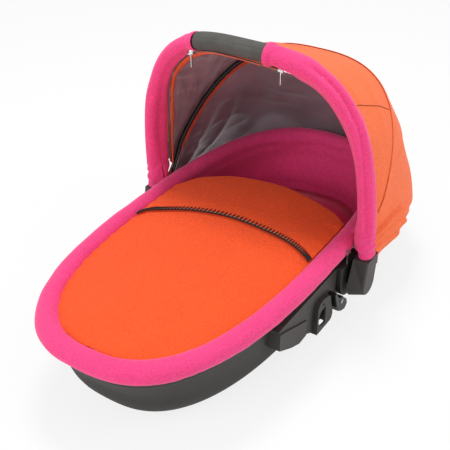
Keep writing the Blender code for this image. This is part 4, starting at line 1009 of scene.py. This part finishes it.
def front_line():
    """The canopy's edge, which follows the handle."""
    points = []
    for distance in np.linspace(EDGE_START, HANDLE_RUN[-1] - EDGE_START, FAN_POINTS):
        middle, inward = handle_frame(distance)
        inset, back = edge_offset(distance)
        points.append(middle + inward * inset + ACROSS * back)
    return np.array(points)


def radial(points):
    """Directions out from the fan's line."""
    way = points - FAN
    return way / np.linalg.norm(way, axis=-1, keepdims=True)


def reach_of(point):
    return math.hypot(point[1] - FAN[1], point[2] - FAN[2])


def sample(line, u):
    """A point at share u along a line of points."""
    at = u * (len(line) - 1)
    k = min(int(at), len(line) - 2)
    return line[k] + (line[k + 1] - line[k]) * (at - k)


EDGE_LINE = front_line()
COVER_LINE = fan_line(BOW_ANGLE, BOW_WIDTH + COVER, BOW_REACH + COVER, BOW_POWER, 0.055, LEG_X + COVER)


def front_place(u, v):
    """Front panel: u along the hoop, v from the handle back to the bow."""
    first, last = sample(EDGE_LINE, u), sample(COVER_LINE, u)
    point = first + (last - first) * v
    share = min(reach_of(point) / BOW_REACH, 1.0)
    swell = 0.006 * math.sin(math.pi * v) * share ** 2
    return point + radial(point) * swell


REAR_LINES = {}


def rear_line(v):
    """A line over the rear panel, at share v from the bow to the hem."""
    key = round(v, 5)
    if key not in REAR_LINES:
        angle = BOW_ANGLE + (HEM_ANGLE - BOW_ANGLE) * v
        bulge = math.sin(math.pi / 2 * min(v * 0.85, 1.0))
        sink = 0.0075 * math.sin(math.pi * v)
        REAR_LINES[key] = fan_line(angle, BOW_WIDTH + COVER + 0.0152 * bulge - sink,
                                   BOW_REACH + COVER + 0.008 * bulge - sink,
                                   BOW_POWER + 0.19 * bulge, 0.030,
                                   LEG_X + COVER + 0.0152 * bulge)
    return REAR_LINES[key]


def rear_place(u, v):
    point = sample(rear_line(v), u)
    reach = reach_of(point)
    wave = math.cos(2 * math.pi * 9 * u)
    depth = 0.0014 * max(v - 0.5, 0.0) * 2 * min(max((reach - 0.030) / 0.120, 0.0), 1.0)
    point = point + radial(point) * (wave * depth)
    point[2] -= 0.014 * v * v * (1 - soft(reach, 0.055, 0.150))
    return point


def front_outside(u, v):
    point = front_place(u, v)
    away = min(v, 1 - v) * 4
    folds = 0.0022 * crease(point, 11.0) + 0.0012 * grain(*(point * 26))
    return point + radial(point) * folds * soft(away, 0.0, 1.0)


def rear_outside(u, v):
    """The rear panel with its diagonal crease low on each flank and the slack folded under it."""
    point = rear_place(u, v)
    near = min(u, 1 - u)
    past = v - 0.35 - 4.04 * (near - 0.03)
    flank = 1 - soft(near, 0.12, 0.22)
    bulge = math.exp(-((near - 0.22) / 0.07) ** 2 - ((v - 0.80) / 0.3) ** 2)
    folds = 0.0024 * crease(point, 9.0) + 0.0014 * grain(*(point * 22))
    folds -= 0.0058 * math.exp(-(past / 0.045) ** 2) * flank
    folds += 0.0040 * bulge - 0.0050 * math.exp(-((near - 0.31) / 0.03) ** 2) * soft(v, 0.3, 0.7)
    for start in (0.03, 0.19, 0.36):
        share = (past - start) / 0.16
        folds += 0.0034 * soft(share, 0.0, 0.35) * (1 - soft(share, 0.35, 1.0)) * flank
    return point + radial(point) * folds * soft(v * 6, 0.0, 1.0)


def panel(name, columns, rows, place, cloth, thickness):
    """A canopy panel: gathered cloth, shaped in place and given its thickness."""
    item = shaped_grid(name, columns, rows, place, cloth)
    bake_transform(item)
    thicken(item, thickness)
    return item


def make_covers():
    front = panel("canopy_front_cover", 150, 44, front_outside, canopy_cloth,
                  COVER_THICK)
    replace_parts(front, "canopy_front")
    rear = panel("canopy_rear_cover", 150, 80, rear_outside, canopy_cloth,
                 COVER_THICK)
    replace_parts(rear, "canopy_rear")


def front_inside(u, v):
    """The front lining, with pleats that start at the handle and fade toward the bow."""
    point = front_place(0.004 + 0.992 * u, 0.004 + 0.992 * v)
    middle = math.sin(math.pi * v) ** 0.5
    pleat = max(grain(u * 46, v * 2.2, 3.0), 0.0) * math.exp(-v * 2.6)
    middle *= soft(reach_of(point), 0.08, 0.20)
    hollow = 0.0024 + 0.0190 * pleat * middle + 0.0045 * fold(u, v * 0.27, 0.7, 20.0) * middle
    return point - radial(point) * hollow


def rear_inside(u, v):
    """The rear lining, hanging in broad hollows with two runs of slanting folds."""
    point = rear_place(0.006 + 0.988 * u, 0.006 + 0.986 * v)
    middle = math.sin(math.pi * v) ** 0.5
    broad = 0.5 + 0.5 * grain(u * 7.0 + v * 1.4, v * 2.4 - u * 1.5, 5.0)
    hollow = 0.0026 + 0.0130 * broad * middle + 0.0060 * fold(u * 1.1, v * 0.33, 0.9, 9.0) * middle
    hollow += 0.0022 * fold(u * 1.1 + 0.4, v * 0.33, -0.5, 17.0) * middle
    return point - radial(point) * hollow


def make_linings():
    panel("canopy_front_lining", 150, 60, front_inside, lining_cloth,
          LINING_THICK)
    panel("canopy_rear_lining", 190, 110, rear_inside, lining_cloth,
          LINING_THICK)


def facing_place(u, v):
    """The strip inside the canopy's front edge, wavy and wider over the top."""
    first, last = sample(EDGE_LINE, u), sample(COVER_LINE, u)
    top = soft(first[2], 0.36, 0.425)
    begin = 0.0035 + 0.0015 * grain(u * 24, 8.0)
    width = 0.0105 + 0.0100 * top + 0.0060 * grain(u * 26, 3.0)
    share = min((begin + width * v) / np.linalg.norm(last - first), 0.3)
    point = front_place(u, share)
    droop = 0.0044 + 0.0022 * math.sin(math.pi * min(v, 0.9)) + 0.0030 * top * v
    return point - radial(point) * droop


def make_front_facing():
    panel("front_facing", 200, 6, facing_place, facing_cloth,
          FACING_THICK)


def tape_place(u, v):
    """The zip's tape, from the sleeve's felt across to the front panel."""
    u = 0.010 + 0.98 * u
    distance = EDGE_START + (HANDLE_RUN[-1] - 2 * EDGE_START) * u
    middle, inward = handle_frame(distance)
    inset, back = edge_offset(distance)
    before = middle + inward * inset + ACROSS * min(back - 0.0040, bow_room(middle[2]))
    first, last = sample(EDGE_LINE, u), sample(COVER_LINE, u)
    after = front_place(u, 0.0060 / np.linalg.norm(last - first))
    point = before + (after - before) * v
    return point - radial(point) * 0.0030 * math.sin(math.pi / 2 * v)


def make_zip_tape():
    tape = shaped_grid("zip_tape", 200, 4, tape_place, tape_cloth)
    thicken(tape, LINING_THICK)
    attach(tape, "handle")


def channel_place(u, v):
    """The strip inside the canopy that holds the bow."""
    share = 0.0190 / (0.86 * max(reach_of(sample(COVER_LINE, u)), 0.09))
    point = rear_place(0.004 + 0.992 * u, 0.004 + share * v)
    return point - radial(point) * (0.0098 + 0.0012 * math.sin(math.pi * v) - 0.003 * v)


def make_bow_facing():
    panel("bow_facing", 200, 8, channel_place, facing_cloth,
          FACING_THICK)


def make_side_seams():
    """A running stitch down each side of the front panel."""
    stitches = []
    for side in (0.0, 1.0):
        def seam_path(share):
            u = 0.277 - 0.016 * share * share
            point = front_outside(abs(side - u), 0.06 + 0.90 * share)
            return point + radial(point) * 0.0005

        stitches.append(dashes("side_seam", seam_path, 34, 0.0009, seam_thread))
    side_seam = gather("side_seam_stitch", stitches)
    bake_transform(side_seam)


def seam_place(u, v):
    """The raised tape over the seam at the bow."""
    point = sample(COVER_LINE, 0.035 + 0.93 * u)
    lift = 0.0007 + 0.0012 * math.cos(math.pi * (v - 0.5))
    return point + radial(point) * lift + np.array(BEHIND_BOW) * 0.0080 * (v - 0.5)


def make_bow_seam():
    seam = shaped_grid("bow_seam_tape", 200, 6, seam_place, seam_cloth)
    thicken(seam, FACING_THICK)
    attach(seam, "bow")


# Small fittings

def paint_fittings():
    """Gives the plain solids that show in the scene their materials."""
    paint("handle_tube", tube_metal)
    paint("canopy_bow", gloss_plastic)
    for side in ("left", "right"):
        paint("bow_eye_" + side, gloss_plastic)
        for name in ("zip_coil_", "zip_slider_", "zip_pull_", "rim_slider_", "rim_pull_"):
            rounded(paint(name + side, zip_metal), 0.0003)
        for name in ("pivot_pin_", "latch_pin_"):
            paint(name + side, pin_metal)
        for name in ("side_bracket_", "hub_", "boot_"):
            paint(name + side, fitting_plastic)
        paint("latch_" + side, gloss_plastic)
        paint("hem_tab_" + side, shade_painted_tab_cloth)


# Stage and camera

def floor_paint():
    """Grey under the lamps, and mostly white to the camera."""
    material = bpy.data.materials.new("floor_paint")
    material.use_nodes = True
    tree = material.node_tree
    tree.nodes.clear()
    out = tree.nodes.new("ShaderNodeOutputMaterial")
    blend = tree.nodes.new("ShaderNodeMixShader")
    matte = tree.nodes.new("ShaderNodeBsdfDiffuse")
    matte.inputs["Color"].default_value = (0.86, 0.86, 0.86, 1)
    tree.links.new(matte.outputs[0], blend.inputs[1])
    glow = tree.nodes.new("ShaderNodeEmission")
    glow.inputs["Color"].default_value = (1, 1, 1, 1)
    glow.inputs["Strength"].default_value = 1.0
    tree.links.new(glow.outputs[0], blend.inputs[2])
    path = tree.nodes.new("ShaderNodeLightPath")
    share = tree.nodes.new("ShaderNodeMath")
    share.operation = "MULTIPLY"
    share.inputs[1].default_value = 0.80
    tree.links.new(path.outputs["Is Camera Ray"], share.inputs[0])
    tree.links.new(share.outputs[0], blend.inputs[0])
    tree.links.new(blend.outputs[0], out.inputs["Surface"])
    return material


def make_floor():
    work = bmesh.new()
    bmesh.ops.create_grid(work, x_segments=1, y_segments=1, size=6.0)
    floor = finish_mesh("floor", work, floor_paint(), smooth=False)
    floor.location.z = -0.0005


def make_world():
    """White to the camera, and dimmer as a light."""
    world = bpy.data.worlds.new("studio")
    bpy.context.scene.world = world
    world.use_nodes = True
    ground = world.node_tree
    back = ground.nodes["Background"]
    back.inputs["Color"].default_value = (1, 1, 1, 1)
    rays = ground.nodes.new("ShaderNodeLightPath")
    strength = spread(ground, rays.outputs["Is Camera Ray"], 0.62, 1.0)
    ground.links.new(strength, back.inputs["Strength"])


def lamp(name, place, target, size, power):
    light = bpy.data.lights.new(name, "AREA")
    light.shape = "DISK"
    light.size = size
    light.energy = power
    item = bpy.data.objects.new(name, light)
    bpy.context.scene.collection.objects.link(item)
    item.location = place
    item.rotation_euler = (Vector(target) - Vector(place)).to_track_quat("-Z", "Y").to_euler()


def make_lamps():
    lamp("key", (-0.35, 0.35, 2.3), (0, -0.05, 0.15), 0.7, 23)
    lamp("front", (-0.5, -2.1, 1.2), (0, 0, 0.15), 1.4, 20)
    lamp("side", (2.0, 0.8, 1.3), (0, 0, 0.2), 1.6, 17)


# The camera that took the photo; its focal length and centre are in the photo's pixels.
PHOTO_SIZE, FOCAL_LENGTH, CENTRE_X, CENTRE_Y = 450, 870.67, 232.0, 227.61
AZIMUTH, ELEVATION, DISTANCE = math.radians(32.57), math.radians(33.46), 1.48116
SENSOR = 36.0


def make_camera():
    target = Vector((0.0, 0.0, 0.150))
    back = Vector((math.sin(AZIMUTH) * math.cos(ELEVATION), -math.cos(AZIMUTH) * math.cos(ELEVATION),
                   math.sin(ELEVATION)))
    data = bpy.data.cameras.new("camera")
    data.sensor_width = SENSOR
    data.lens = FOCAL_LENGTH / PHOTO_SIZE * SENSOR
    data.shift_x = 0.5 - CENTRE_X / PHOTO_SIZE
    data.shift_y = CENTRE_Y / PHOTO_SIZE - 0.5
    camera = bpy.data.objects.new("camera", data)
    bpy.context.scene.collection.objects.link(camera)
    camera.location = target + back * DISTANCE
    camera.rotation_euler = (-back).to_track_quat("-Z", "Y").to_euler()
    bpy.context.scene.camera = camera


make_camera()
make_floor()
make_world()
make_lamps()
make_tub()
make_liner()
make_mattress()
make_roll()
make_apron()
make_flap()
make_sleeves()
make_grip()
make_covers()
make_linings()
make_front_facing()
make_zip_tape()
make_bow_facing()
make_side_seams()
make_bow_seam()
paint_fittings()
bpy.context.scene.view_settings.view_transform = "Standard"
